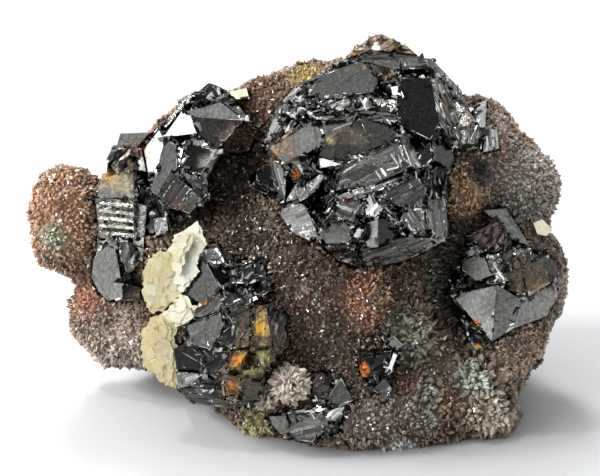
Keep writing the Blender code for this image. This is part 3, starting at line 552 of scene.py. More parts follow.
def faces_mesh(name, points, corners, sizes):
    """A mesh from arrays of points, of face corners one after another, and of each face's corner count."""
    mesh = bpy.data.meshes.new(name)
    mesh.vertices.add(len(points))
    mesh.vertices.foreach_set("co", np.asarray(points, np.float32).ravel())
    mesh.loops.add(len(corners))
    mesh.loops.foreach_set("vertex_index", np.asarray(corners, np.int32))
    mesh.polygons.add(len(sizes))
    starts = np.concatenate([[0], np.cumsum(sizes)[:-1]])
    mesh.polygons.foreach_set("loop_start", starts.astype(np.int32))
    mesh.update(calc_edges=True)
    mesh.validate()
    mesh.shade_flat()
    return mesh


def add_attribute(mesh, name, kind, domain, values):
    """Adds an attribute with these values to the mesh."""
    field = {"FLOAT": "value", "FLOAT_COLOR": "color", "FLOAT_VECTOR": "vector"}[kind]
    mesh.attributes.new(name, kind, domain).data.foreach_set(field, values)


def surface_tree(names):
    """A search tree over the surfaces of these nodes."""
    points, faces = [], []
    for name in names:
        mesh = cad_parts[name].data
        start = len(points)
        points += [vertex.co.copy() for vertex in mesh.vertices]
        faces += [[start + k for k in face.vertices] for face in mesh.polygons]
    return BVHTree.FromPolygons(points, faces)


# Materials


def principled(name):
    """A new material, with its node tree and its shader."""
    made = bpy.data.materials.new(name)
    made.use_nodes = True
    return made, made.node_tree, made.node_tree.nodes["Principled BSDF"]


def node_of(tree, kind, inputs=(), **values):
    """A new node with these settings and input values."""
    made = tree.nodes.new(kind)
    for name, value in values.items():
        setattr(made, name, value)
    for key, value in inputs:
        made.inputs[key].default_value = value
    return made


def noise_value(tree, scale, detail=4.0, rough=0.5):
    """Noise from the place on the piece."""
    place = node_of(tree, "ShaderNodeTexCoord")
    made = node_of(tree, "ShaderNodeTexNoise", (("Scale", scale), ("Detail", detail), ("Roughness", rough)))
    tree.links.new(place.outputs["Object"], made.inputs["Vector"])
    return made.outputs["Fac"]


def ranged(tree, value, low, high, to_low, to_high):
    """The value, mapped from one range to another."""
    made = node_of(
        tree, "ShaderNodeMapRange",
        (("From Min", low), ("From Max", high), ("To Min", to_low), ("To Max", to_high)),
    )
    tree.links.new(value, made.inputs["Value"])
    return made.outputs["Result"]


def mixed(tree, factor, first, second, blend="MIX"):
    """Two colours mixed by a factor. Each is a socket or a colour."""
    made = node_of(tree, "ShaderNodeMix", data_type="RGBA", blend_type=blend)
    for socket, value in ((made.inputs[0], factor), (made.inputs[6], first), (made.inputs[7], second)):
        if isinstance(value, bpy.types.NodeSocket):
            tree.links.new(value, socket)
        elif isinstance(value, (int, float)):
            socket.default_value = value
        else:
            socket.default_value = (*value, 1)
    return made.outputs[2]


def attribute(tree, name, output="Fac"):
    """An attribute of the mesh."""
    made = node_of(tree, "ShaderNodeAttribute", attribute_name=name)
    return made.outputs[output]


def bumped(tree, shader, height, strength, distance):
    """Bump from a height."""
    made = node_of(tree, "ShaderNodeBump", (("Strength", strength), ("Distance", distance)))
    tree.links.new(height, made.inputs["Height"])
    tree.links.new(made.outputs["Normal"], shader.inputs["Normal"])


def sphalerite_material():
    """Nearly black metallic crystal with fine growth lines, each face painted brighter or darker for the
    light it reflects; clear where it is stained, and near white where a highlight is painted.
    """
    made, tree, shader = principled("dark_sphalerite")
    tint = attribute(tree, "tint", "Color")
    clear = attribute(tree, "clear")
    lined = attribute(tree, "lined")
    grain = node_of(tree, "ShaderNodeTexNoise", (("Scale", 1.6), ("Detail", 4.0), ("Roughness", 0.6)))
    tree.links.new(attribute(tree, "grain", "Vector"), grain.inputs["Vector"])
    lines = grain.outputs["Fac"]
    fine = noise_value(tree, 2200, 4, 0.7)
    broad = noise_value(tree, 300, 4, 0.6)
    brightness = multiplied(
        tree, ranged(tree, lines, 0.35, 0.65, 0.72, 1.25), ranged(tree, fine, 0.3, 0.7, 0.75, 1.3)
    )
    # Each face's painted brightness, standing in for the light it reflects, varied by the growth lines and
    # fine noise.
    varied = multiplied(tree, attribute(tree, "painted_shine"), brightness)
    warm = mixed(tree, ranged(tree, broad, 0.4, 0.6, 0, 1), (1.0, 0.97, 0.9), (0.95, 0.98, 0.95))
    painted_lustre = mixed(tree, 1.0, warm, varied, "MULTIPLY")
    mottled = mixed(tree, ranged(tree, fine, 0.52, 0.36, 0.0, 0.85), tint, (0.014, 0.01, 0.006))
    glowing = mixed(tree, ranged(tree, fine, 0.58, 0.7, 0.0, 0.5), mottled, (0.6, 0.52, 0.38))
    body = mixed(tree, ranged(tree, clear, 0.1, 0.8, 0, 1), painted_lustre, glowing)
    # Small pale specks over the body.
    specked = mixed(tree, specks(tree, 2600, 0.07), body, (0.4, 0.38, 0.36))
    tree.links.new(specked, shader.inputs["Base Color"])
    tree.links.new(ranged(tree, clear, 0.3, 0.9, 1, 0), shader.inputs["Metallic"])
    rough = node_of(tree, "ShaderNodeMath", operation="ADD")
    tree.links.new(attribute(tree, "satin"), rough.inputs[0])
    tree.links.new(ranged(tree, fine, 0.3, 0.7, -0.04, 0.06), rough.inputs[1])
    tree.links.new(rough.outputs[0], shader.inputs["Roughness"])
    shader.inputs["IOR"].default_value = 1.6
    bumped(tree, shader, multiplied(tree, lines, lined), 0.45, 0.00012)
    return made


def multiplied(tree, first, second):
    """The product of two values."""
    made = node_of(tree, "ShaderNodeMath", operation="MULTIPLY")
    tree.links.new(first, made.inputs[0])
    tree.links.new(second, made.inputs[1])
    return made.outputs[0]


def specks(tree, scale, size):
    """Small specks, thicker in some places than in others."""
    place = node_of(tree, "ShaderNodeTexCoord")
    cells = node_of(tree, "ShaderNodeTexVoronoi", (("Scale", scale),))
    tree.links.new(place.outputs["Object"], cells.inputs["Vector"])
    near = ranged(tree, cells.outputs["Distance"], size, size * 1.6, 1.0, 0.0)
    return multiplied(tree, near, ranged(tree, noise_value(tree, 250, 3, 0.5), 0.45, 0.6, 0.0, 1.0))


def honey_material():
    """Clear honey brown crystal, darker and paler in patches, with a painted highlight in a few places."""
    made, tree, shader = principled("honey_sphalerite")
    broad = noise_value(tree, 420, 4, 0.6)
    fine = noise_value(tree, 1800, 4, 0.7)
    honey = tuple(settings().honey)
    dark = mixed(tree, ranged(tree, broad, 0.4, 0.52, 0, 1), (0.035, 0.018, 0.012), honey)
    pale = mixed(tree, ranged(tree, broad, 0.56, 0.66, 0, 1), dark, (0.34, 0.27, 0.14))
    mottled = mixed(tree, ranged(tree, fine, 0.5, 0.35, 0, 0.7), pale, (0.03, 0.018, 0.01))
    # Where blotches lie the colour is their tint: stains, and the painted highlight near the top.
    lit = ranged(tree, attribute(tree, "clear"), 0.2, 0.6, 0, 1)
    tree.links.new(mixed(tree, lit, mottled, attribute(tree, "tint", "Color")), shader.inputs["Base Color"])
    tree.links.new(ranged(tree, noise_value(tree, 800), 0.3, 0.7, 0.05, 0.2), shader.inputs["Roughness"])
    shader.inputs["IOR"].default_value = 1.7
    shader.inputs["Transmission Weight"].default_value = 0.1
    bumped(tree, shader, noise_value(tree, 1200), 0.4, 0.00005)
    return made


def druse_material(name, rough_low, rough_high, light):
    """Stained quartz points, lighter towards their tips, each facet painted darker or paler for the light and
    shade of clear quartz, and a few painted near white as highlights.
    """
    made, tree, shader = principled(name)
    stain = mixed(tree, 1.0, attribute(tree, "stain", "Color"), (light, light, light), "MULTIPLY")
    facet = attribute(tree, "facet")
    geometry = node_of(tree, "ShaderNodeNewGeometry")
    island = geometry.outputs["Random Per Island"]
    broad = noise_value(tree, 500, 5, 0.65)
    darker = mixed(tree, ranged(tree, facet, 0.0, 0.6, 0.45, 0.0), stain, (0.01, 0.008, 0.006))
    mottled = mixed(tree, ranged(tree, broad, 0.5, 0.34, 0.0, 0.45), darker, (0.016, 0.011, 0.008))
    paler = mixed(tree, ranged(tree, island, 0.7, 1.0, 0.0, 0.35 * light), mottled, (0.46, 0.42, 0.36))
    # Facets with the highest draw are painted near white as highlights.
    glinting = mixed(tree, ranged(tree, facet, 0.955, 0.965, 0.0, 0.95 * light), paler, (0.95, 0.94, 0.9))
    tree.links.new(glinting, shader.inputs["Base Color"])
    rough = ranged(tree, noise_value(tree, 1500), 0.3, 0.7, rough_low, rough_high)
    tree.links.new(rough, shader.inputs["Roughness"])
    shader.inputs["IOR"].default_value = 1.55
    bumped(tree, shader, noise_value(tree, 2500), 0.25, 0.00003)
    return made


def calcite_material():
    """Cream calcite, waxy and slightly see-through, with brownish flecks."""
    made, tree, shader = principled("cream_calcite")
    cream = tuple(settings().cream)
    broad = noise_value(tree, 230, 5, 0.6)
    fine = noise_value(tree, 1100, 5, 0.6)
    whiter = mixed(tree, attribute(tree, "pale"), cream, (0.56, 0.57, 0.48))
    stained = mixed(tree, ranged(tree, broad, 0.46, 0.66, 0, 0.7), whiter, (0.4, 0.32, 0.16))
    speckled = mixed(tree, ranged(tree, fine, 0.54, 0.68, 0, 0.75), stained, (0.2, 0.16, 0.09))
    tree.links.new(speckled, shader.inputs["Base Color"])
    tree.links.new(ranged(tree, fine, 0.3, 0.7, 0.2, 0.45), shader.inputs["Roughness"])
    shader.inputs["Subsurface Weight"].default_value = 0.12
    shader.inputs["Subsurface Radius"].default_value = (0.8, 0.7, 0.4)
    shader.inputs["Subsurface Scale"].default_value = 0.0005
    shader.inputs["IOR"].default_value = 1.6
    bumped(tree, shader, fine, 0.35, 0.00004)
    return made


def rosette_material():
    """Pinkish beige quartz of the rosettes."""
    made, tree, shader = principled("rosette_quartz")
    colour = tuple(settings().rosette_colour)
    tip = attribute(tree, "tip")
    low = tuple(value * 0.25 for value in colour)
    light = tuple(min(1.0, value * 1.45) for value in colour)
    shaded = mixed(tree, ranged(tree, tip, 0.1, 0.9, 0, 1), low, light)
    fine = noise_value(tree, 900, 5, 0.6)
    stained = mixed(tree, ranged(tree, fine, 0.45, 0.75, 0, 0.5), shaded, (0.33, 0.27, 0.22))
    tree.links.new(stained, shader.inputs["Base Color"])
    tree.links.new(ranged(tree, fine, 0.3, 0.7, 0.15, 0.4), shader.inputs["Roughness"])
    shader.inputs["IOR"].default_value = 1.55
    shader.inputs["Subsurface Weight"].default_value = 0.2
    shader.inputs["Subsurface Scale"].default_value = 0.0005
    bumped(tree, shader, fine, 0.3, 0.00005)
    return made


def pyrite_material():
    """Pale brassy metal."""
    made, tree, shader = principled("pale_pyrite")
    brass = tuple(settings().brass)
    fine = noise_value(tree, 700, 5, 0.6)
    tarnished = mixed(tree, ranged(tree, fine, 0.4, 0.7, 0, 0.6), brass, (0.5, 0.42, 0.2))
    tree.links.new(tarnished, shader.inputs["Base Color"])
    tree.links.new(ranged(tree, fine, 0.3, 0.7, 0.12, 0.35), shader.inputs["Roughness"])
    shader.inputs["Metallic"].default_value = 1.0
    bumped(tree, shader, fine, 0.4, 0.00004)
    return made


def floor_material():
    """Plain pale floor."""
    made, tree, shader = principled("pale_floor")
    broad = noise_value(tree, 3, 2, 0.5)
    pale = mixed(tree, ranged(tree, broad, 0.3, 0.7, 0, 1), (0.4, 0.405, 0.41), (0.42, 0.425, 0.43))
    tree.links.new(pale, shader.inputs["Base Color"])
    tree.links.new(ranged(tree, broad, 0.3, 0.7, 0.5, 0.6), shader.inputs["Roughness"])
    return made


# Crystal faces


def flat_faces(node):
    """The node's flat faces as one shape: each a polygon, with the flat ones beside each other joined."""
    shape = bmesh.new()
    shape.from_mesh(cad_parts[node].data)
    bmesh.ops.remove_doubles(shape, verts=shape.verts[:], dist=2e-6)
    bmesh.ops.dissolve_limit(
        shape, angle_limit=math.radians(0.4), verts=shape.verts[:], edges=shape.edges[:]
    )
    shape.normal_update()
    shape.faces.ensure_lookup_table()
    return shape


def look_of_faces(shape, chance):
    """The look of each face: given by a place on it, or by the zone it lies in, or else drawn by chance."""
    tree = BVHTree.FromBMesh(shape)
    looks = {}
    for face in shape.faces:
        finish = chance.choices(("plain", "ribbed", "broken"), (0.3, 0.3, 0.4))[0]
        painted_lustre = chance.choices(("black", "dark", "gray", "pale", "bright"), (0.3, 0.3, 0.2, 0.13, 0.07))[0]
        middle = face.calc_center_median()
        way = chance.uniform(0, 180)
        for right, down, radius, zone_finish, zone_way, zone_painted_lustre in ZONES:
            away = middle - spot(right, down, 0)
            if (away - OUT * away.dot(OUT)).length < radius * MM:
                finish, way, painted_lustre = zone_finish, zone_way or way, zone_painted_lustre
        looks[face.index] = (finish, way, painted_lustre)
    for right, down, finish, way, painted_lustre in FACE_LOOKS:
        _, _, index, _ = tree.ray_cast(spot(right, down, 80), -OUT)
        if index is not None:
            looks[index] = (finish, way or chance.uniform(0, 180), painted_lustre)
    return looks


def rim_points(corners, pitch):
    """Points round a polygon's rim, the same ones seen from the face across each edge."""
    rim = []
    for start, end in zip(corners, np.roll(corners, -1, axis=0)):
        parts = max(1, math.ceil(np.linalg.norm(end - start) / pitch))
        for k in range(parts):
            rim.append(start + (end - start) * (k / parts))
    return np.array(rim)


def reach_inside(points, rim):
    """How far inside the rim each point lies, and less than 0 outside it."""
    starts, ends = rim, np.roll(rim, -1, axis=0)
    ways = ends - starts
    lengths = np.maximum((ways**2).sum(axis=1), 1e-12)
    away = points[:, None, :] - starts[None]
    along = np.clip((away * ways[None]).sum(axis=2) / lengths[None], 0, 1)
    nearest = np.sqrt(((away - along[..., None] * ways[None]) ** 2).sum(axis=2)).min(axis=1)
    above = starts[None, :, 1] > points[:, None, 1]
    crossing = above != (ends[None, :, 1] > points[:, None, 1])
    rise = np.where(np.abs(ways[:, 1]) < 1e-12, 1e-12, ways[:, 1])
    meets = starts[None, :, 0] + (points[:, None, 1] - starts[None, :, 1]) / rise[None] * ways[None, :, 0]
    inside = (crossing & (points[:, None, 0] < meets)).sum(axis=1) % 2 == 1
    return np.where(inside, nearest, -1.0)


def loose_grid(low, high, pitch, chance):
    """Points in loose rows between two corners."""
    across, up = np.arange(low[0], high[0], pitch), np.arange(low[1], high[1], pitch * 0.87)
    x, y = np.meshgrid(across, up)
    x = x + (np.arange(len(up)) % 2)[:, None] * pitch / 2
    points = np.stack([x.ravel(), y.ravel()], axis=1)
    return points + chance.uniform(-0.3, 0.3, points.shape) * pitch


# How many middles round a shard's own cut its outline.
NEIGHBOURS = 12


def shards(low, high, chance):
    """Uneven cells, about one unit wide, that fill the box between two corners, each as its own corners."""
    middles = loose_grid(low - 1.5, high + 1.5, 1.0, chance)
    middles += chance.uniform(-0.2, 0.2, middles.shape)
    cells = []
    for middle in middles:
        away = middles - middle
        around = np.argsort((away**2).sum(axis=1))[1 : NEIGHBOURS + 1]
        cell = middle + np.array(((-2, -2), (2, -2), (2, 2), (-2, 2)))
        for other in around:
            reach = (cell - middle - away[other] / 2) @ away[other]
            cut = []
            for m in range(len(cell)):
                here, there = reach[m - 1], reach[m]
                if (here < 0) != (there < 0):
                    cut.append(cell[m - 1] + (cell[m] - cell[m - 1]) * here / (here - there))
                if there < 0:
                    cut.append(cell[m])
            cell = np.array(cut)
        if (cell.max(axis=0) > low).all() and (cell.min(axis=0) < high).all():
            cells.append(cell)
    return cells


def bricks(low, high, chance):
    """Long cells side by side that fill the box between two corners, about one unit wide."""
    cells = []
    bottom = low[1] - chance.random()
    while bottom < high[1]:
        top = bottom + chance.uniform(0.35, 1.65)
        left = low[0] - chance.random() * 2
        while left < high[0]:
            right = left + chance.uniform(0.3, 1.7)
            cells.append(np.array(((left, bottom), (right, bottom), (right, top), (left, top))))
            left = right
        bottom = top
    return cells


class Facets:
    """The facets that a crystal face breaks up into, each flat, a little sunk and a little leaning."""

    def __init__(self, corners, finish, ribs, chance):
        along, across, deep, steep, self.wave = FINISHES[finish]
        if finish == "ribbed":
            across, deep = ribs
        self.size = np.array((along, across))
        self.turns = chance.uniform(0, math.tau, 4)
        low, high = corners.min(axis=0) / self.size - 0.3, corners.max(axis=0) / self.size + 0.3
        cells = (bricks if finish == "ribbed" else shards)(low, high, chance)
        self.cells = [cell * self.size for cell in cells]
        count = len(self.cells)
        self.middles = np.array([cell.mean(axis=0) for cell in self.cells])
        self.thin = np.array([np.ptp(cell[:, 1]) < 0.9 * across for cell in self.cells])
        self.depths = deep * chance.random(count) ** 1.3
        along_less = 0.15 if finish == "ribbed" else 0.5
        self.leans = chance.uniform(-steep, steep, (count, 2)) * (along_less, 1.0)
        sides = max(map(len, self.cells))
        self.ways = np.zeros((count, sides, 2))
        self.reaches = np.full((count, sides), 1e3)
        for k, cell in enumerate(self.cells):
            edges = np.roll(cell, -1, axis=0) - cell
            ways = np.stack([-edges[:, 1], edges[:, 0]], axis=1)
            ways /= np.maximum(np.linalg.norm(ways, axis=1, keepdims=True), 1e-9)
            self.ways[k, : len(cell)] = ways
            self.reaches[k, : len(cell)] = -(ways * cell).sum(axis=1)

    def waved(self, points):
        """The points, moved by the wave of the borders."""
        x, y = points[:, 0], points[:, 1]
        a, b, c, d = self.turns
        aside = np.sin(y * 1.9 + a) + 0.5 * np.sin(x * 3.1 + b)
        up = np.sin(x * 1.7 + c) + 0.5 * np.sin(x * 3.7 + y + d)
        return points + np.stack([aside, up]).T * self.wave * 0.5

    def lines(self):
        """The outline of every facet, a little inside its border, as points one after the other."""
        spacing = 0.3 if self.wave else 1.2
        for cell in self.cells:
            middle = cell.mean(axis=0)
            away = cell - middle
            short = np.maximum(np.abs(away).max(axis=1), 1e-6)[:, None]
            inset = middle + away * np.maximum(1 - FACET_GAP * 1.5 / short, 0.5)
            yield rim_points(inset, spacing)

    def owners(self, points):
        """The facet that each point lies on."""
        inside = np.einsum("kse,pe->pks", self.ways, points) + self.reaches[None]
        return inside.min(axis=2).argmax(axis=1)

    def heights(self, points, owners):
        """The height of each point on its facet."""
        off = points - self.middles[owners]
        return np.minimum(-self.depths[owners] + (off * self.leans[owners]).sum(axis=1), 0.0)


def inner_ring(rim, width):
    """Points just inside the rim, for the worn strip along a face's edges, and the lines between them."""
    along = np.roll(rim, -1, axis=0) - np.roll(rim, 1, axis=0)
    along /= np.maximum(np.linalg.norm(along, axis=1, keepdims=True), 1e-9)
    inner = rim + np.stack([-along[:, 1], along[:, 0]], axis=1) * width
    kept = reach_inside(inner, rim) > width * 0.6
    numbers = np.cumsum(kept) - 1
    lines = [(numbers[k - 1], numbers[k]) for k in range(len(rim)) if kept[k] and kept[k - 1]]
    return inner[kept], lines


# How far apart the points on a face's rim lie, in millimetres, and the kinds of its triangles.
RIM_PITCH = 0.6
FLAT, STEP, WORN = 0, 1, 2


def dressed_face(corners, finish, ribs, chance):
    """A polygon in its own plane, in millimetres, broken up into facets.

    Returns its points with their heights, its triangles, the facet of each and its kind (FLAT, STEP or WORN),
    the points on the edge, and which facets are thin.
    """
    rim = rim_points(corners, RIM_PITCH)
    facets = Facets(corners, finish, ribs, chance)
    ring, ring_lines = inner_ring(rim, RING_WIDTH)
    points = [rim, ring]
    lines = [(len(rim) + a, len(rim) + b) for a, b in ring_lines]
    count = len(rim) + len(ring)
    for outline in facets.lines():
        below = outline.max(axis=0) + facets.wave < corners.min(axis=0)
        above = outline.min(axis=0) - facets.wave > corners.max(axis=0)
        if below.any() or above.any():
            continue
        real = outline
        for _ in range(3):
            real = outline - (facets.waved(real) - real)
        kept = reach_inside(real, rim) > RING_WIDTH * 1.2
        numbers = count + np.cumsum(kept) - 1
        lines += [(numbers[k - 1], numbers[k]) for k in range(len(real)) if kept[k] and kept[k - 1]]
        points.append(real[kept])
        count += kept.sum()
    flat = [Vector(point) for point in np.concatenate(points)]
    lines = [(int(a), int(b)) for a, b in lines if a != b]
    found, _, faces, origins, _, _ = delaunay_2d_cdt(flat, lines, [list(range(len(rim)))], 1, 1e-5)
    places = np.array([tuple(point) for point in found])
    on_rim = np.array([bool(origin) and min(origin) < len(rim) for origin in origins])
    place_of = {number: k for k, origin in enumerate(origins) for number in origin}
    border = [place_of[k] for k in range(len(rim)) if k in place_of]
    owners = facets.owners(facets.waved(places))
    heights = facets.heights(facets.waved(places), owners)
    heights[on_rim] = 0.0
    near = ~on_rim & (reach_inside(places, rim) < RING_WIDTH * 0.5)
    heights[near] = 0.0
    shares, steep = [], []
    for face in faces:
        own = owners[list(face)]
        level = (own == own[0]).all() and not on_rim[list(face)].any()
        shares.append(int(own[0]) if level else int(own[np.argmax(heights[list(face)])]))
        steep.append(WORN if on_rim[list(face)].any() else FLAT if level else STEP)
    return np.column_stack([places, heights]), faces, shares, steep, border, facets.thin


# How far the painted lustre of a face's facets spreads, how often one is painted bright, and how often its
# step is painted lit.
FACET_PAINTED_SHINES = {
    "plain": (0.06, 0.0, 0.06),
    "ribbed": (0.35, 0.14, 0.3),
    "broken": (0.5, 0.08, 0.3),
    "cleaved": (0.25, 0.0, 0.1),
}


def painted_shines_of(level, finish, thin, chance):
    """Painted brightness of each facet and of the step at its border, for the light they reflect. Only thin
    ribs are painted bright.
    """
    count = len(thin)
    spread, often, lit = FACET_PAINTED_SHINES[finish]
    facets = level * np.exp(chance.normal(-spread / 2, spread, count))
    bright = (chance.random(count) < often) & (thin | (finish != "ribbed"))
    facets[bright] = chance.choice((PAINTED_LUSTRE["pale"], PAINTED_LUSTRE["bright"], PAINTED_LUSTRE["white"]), bright.sum())
    steps = np.where(chance.random(count) < lit, np.clip(level * 4 + 0.1, 0, 0.9), level * 0.5)
    return facets, steps


def chip_points(way, size, chance):
    """The eight corners of a small broken chip standing on a face, in millimetres from its place."""
    side = np.cross(way, chance.normal(0, 1, 3))
    side /= np.linalg.norm(side)
    across = np.cross(way, side)
    length, width, height = size * chance.uniform((0.5, 0.15, 0.12), (1.8, 0.45, 0.5))
    lean = chance.uniform(-0.4, 0.4, 2)
    found = []
    for level in (0, 1):
        narrow = 1 - 0.35 * level
        for x, y in ((-1, -1), (1, -1), (1, 1), (-1, 1)):
            along = (x * narrow * length / 2 + level * lean[0] * height) * side
            beside = (y * narrow * width / 2 + level * lean[1] * height) * across
            rise = (level * (height + 0.3 * height * chance.uniform(-1, 1)) - 0.12) * way
            found.append(along + beside + rise)
    return np.array(found)


# How often a millimetre of edge has a chip, how often a chip has each painted lustre, and a chip's sides.
RIM_CHIPS = 0.3
CHIP_PAINTED_LUSTRES = {"black": 0.12, "dark": 0.24, "gray": 0.32, "soft": 0.2, "bright": 0.08, "white": 0.04}
CHIP_SIDES = ((0, 3, 2, 1), (4, 5, 6, 7), (0, 1, 5, 4), (1, 2, 6, 5), (2, 3, 7, 6), (3, 0, 4, 7))
CHIP_TRIS = [tri for a, b, c, d in CHIP_SIDES for tri in ((a, b, c), (a, c, d))]
# Chips stand only on faces that look at least this far to the front. A wall nearer than this many millimetres
# counts as closing a gap, and gaps have the most chips.
CHIPPED_FROM = -0.25
CHIP_GAP = 2.0


def chip_sites(shape, looks, chance):
    """Places for chips: in the gaps between the crystals, on the broken faces and along the edges."""
    tree = BVHTree.FromBMesh(shape)
    sites = []
    for face in shape.faces:
        if face.normal.dot(OUT) < CHIPPED_FROM:
            continue
        middle = face.calc_center_median()
        corners = [vertex.co for vertex in face.verts]
        tries = int(face.calc_area() / (MM * MM) * 2.6) + 1
        for _ in range(tries):
            k = chance.integers(len(corners))
            first, second = sorted(chance.random(2))
            one, other = corners[k], corners[(k + 1) % len(corners)]
            place = middle * (1 - second) + one * (second - first) + other * first
            if tree.find_nearest(place)[2] != face.index:
                continue
            start = place + face.normal * 0.2 * MM
            aside = face.normal.orthogonal()
            ways = [Matrix.Rotation(turn * math.pi / 3, 3, face.normal) @ aside for turn in range(6)]
            walls = [tree.ray_cast(start, way, CHIP_GAP * MM)[0] for way in ways]
            closed = 6 - walls.count(None)
            wanted = 0.85 if closed >= 3 else 0.05 if looks[face.index][0] == "broken" else 0.0
            if chance.random() < wanted:
                sites.append((place.copy(), face.normal.copy(), 1.7 if closed >= 4 else 1.0))
        if looks[face.index][0] == "plain" or face.normal.dot(OUT) < 0.1:
            continue
        for one, other in zip(corners, corners[1:] + corners[:1]):
            for _ in range(int((other - one).length / MM)):
                if chance.random() < RIM_CHIPS:
                    place = one.lerp(other, chance.random()).lerp(middle, 0.05)
                    sites.append((place, face.normal.copy(), 0.9))
    return sites


def ridge_crest(ends, tree, everything):
    """Points along a ridge on these crystals, where nothing else hides them."""
    (x0, y0), (x1, y1) = ends
    steps = max(2, round(math.hypot(x1 - x0, y1 - y0) / 4))
    crest = []
    for k in range(steps + 1):
        start = spot(x0 + (x1 - x0) * k / steps, y0 + (y1 - y0) * k / steps, 80)
        here = tree.ray_cast(start, -OUT)[0]
        if here is None or (here - everything.ray_cast(start, -OUT)[0]).length > 0.3 * MM:
            continue
        if crest and abs((here - crest[-1]).dot(OUT)) > 1.2 * MM:
            break
        crest.append(here)
    return crest


def ridge_points(crest, width):
    """A thin ridge along these points, with a slanting top: four points to a station, and its triangles."""
    side = (crest[-1] - crest[0]).cross(OUT).normalized() * width * GRID_STEP * MM / 2
    profile = ((1, -RIDGE_FOOT), (1, RIDGE_CREST), (-1, RIDGE_CREST / 3), (-1, -RIDGE_FOOT))
    points, tris = [], []
    for k, place in enumerate(crest):
        narrow = side * (0.35 + 0.65 * math.sin(math.pi * (k + 0.5) / len(crest)))
        for aside, rise in profile:
            points.append(place + narrow * aside + OUT * rise * MM)
    for k in range(0, 4 * len(crest) - 4, 4):
        for one, other in ((0, 1), (1, 2), (2, 3), (3, 0)):
            tris += [(k + one, k + other, k + other + 4), (k + one, k + other + 4, k + one + 4)]
    last = 4 * len(crest) - 4
    tris += [(0, 2, 1), (0, 3, 2), (last, last + 1, last + 2), (last, last + 2, last + 3)]
    return points, tris


# Faces that look further away than this are plain, because no photo shows them.
UNSEEN_FROM = -0.35
# How rough the glossy faces, the other faces, the chips and the ridges are, and how faint the growth lines
# are where a face isn't ribbed.
GLOSSY = (0.08, 0.14)
SATIN = 0.2
CHIP_SATIN = 0.12
RIDGE_SATIN = 0.14
FAINT_LINES = 0.25
# How far the edges of a broken face and of any other are worn back at most, in millimetres.
BROKEN_WEAR = 0.2
EDGE_WEAR = 0.06


def dressed_cluster(node, ribs, everything):
    """A mesh of the node's faces broken up into facets, with chips, ridges, painted brightness and roughness.
    """
    shape = flat_faces(node)
    seed = sum(map(ord, node))
    looks = look_of_faces(shape, random.Random(seed))
    chance = np.random.default_rng(seed)
    points, corners, painted_shines, satins, lined, edges, grain = [], [], [], [], [], [], []

    def add_loose(placed, tris, levels, satin):
        """Adds a chip or a ridge: its points, its triangles, the painted brightness of each, and its
        roughness.
        """
        start = len(points)
        points.extend(placed)
        edges.extend([0.0] * len(placed))
        for tri, level in zip(tris, levels):
            corners.extend([start + k for k in tri])
            painted_shines.append(min(1.0, level))
            satins.append(satin)
            lined.append(FAINT_LINES)
            grain.extend([(k * 0.3, start * 0.7, 0.0) for k in tri])

    for face in shape.faces:
        finish, way, painted_lustre = looks[face.index]
        if face.normal.dot(OUT) < UNSEEN_FROM:
            finish = "cleaved" if finish == "broken" else "plain"
        across = ACROSS * math.cos(math.radians(way)) + UP * math.sin(math.radians(way))
        first = across - face.normal * across.dot(face.normal)
        first = (first if first.length > 0.05 else face.normal.orthogonal()).normalized()
        second = face.normal.cross(first)
        base = face.verts[0].co.copy()
        flat = np.array([((v.co - base).dot(first) / MM, (v.co - base).dot(second) / MM) for v in face.verts])
        placed, tris, shares, steep, border, thin = dressed_face(flat, finish, ribs, chance)
        start = len(points)
        points += [base + (first * x + second * y + face.normal * z) * MM for x, y, z in placed]
        wear = np.zeros(len(placed))
        wear[border] = BROKEN_WEAR if finish == "broken" else EDGE_WEAR
        edges += list(wear)
        satin = chance.choice(GLOSSY) if painted_lustre in ("black", "bright", "white") else SATIN
        levels, steps = painted_shines_of(PAINTED_LUSTRE[painted_lustre], finish, thin, chance)
        for tri, share, kind in zip(tris, shares, steep):
            painted_shine = (levels, steps, levels * 0.8)[kind][share]
            x, y = placed[tri[0]][:2]
            # Stretches of the worn strip along a face's edges get a painted highlight, standing in for light
            # caught by the edge.
            if kind == WORN and noise.noise((x * 0.4, y * 0.4, face.index * 3.0)) > 0.3:
                painted_shine = PAINTED_LUSTRE["bright"]
            corners += [start + k for k in tri]
            painted_shines.append(min(1.0, painted_shine))
            satins.append(satin)
            lined.append(1.0 if finish == "ribbed" else FAINT_LINES)
            stretch = (0.22, 4.0) if finish == "ribbed" else (0.9, 1.4)
            grain += [(placed[k][0] * stretch[0], placed[k][1] * stretch[1], face.index * 7.3) for k in tri]
    for place, way, size in chip_sites(shape, looks, chance):
        placed = [place + Vector(point) * MM for point in chip_points(np.array(way), size, chance)]
        level = PAINTED_LUSTRE[chance.choice(list(CHIP_PAINTED_LUSTRES), p=list(CHIP_PAINTED_LUSTRES.values()))]
        levels = [level * chance.uniform(0.5, 1.5) for _ in CHIP_SIDES]
        add_loose(placed, CHIP_TRIS, np.repeat(levels, 2), CHIP_SATIN)
    tree = BVHTree.FromBMesh(shape)
    for x0, y0, x1, y1, width, painted_lustre in RIDGES:
        crest = ridge_crest(((x0, y0), (x1, y1)), tree, everything)
        if len(crest) < 2:
            continue
        placed, tris = ridge_points(crest, width)
        add_loose(placed, tris, [PAINTED_LUSTRE[painted_lustre] * chance.uniform(0.7, 1.1) for _ in tris], RIDGE_SATIN)
    shape.free()
    standing = [(point.x, point.y, max(point.z, 0.0)) for point in points]
    mesh = faces_mesh(node + "_mesh", standing, corners, [3] * (len(corners) // 3))
    for name, values in (("painted_shine", painted_shines), ("satin", satins), ("lined", lined)):
        add_attribute(mesh, name, "FLOAT", "FACE", values)
    add_attribute(mesh, "wear", "FLOAT", "POINT", edges)
    add_attribute(mesh, "grain", "FLOAT_VECTOR", "CORNER", np.ravel(grain))
    worn(mesh, seed)
    blotched(mesh)
    return mesh


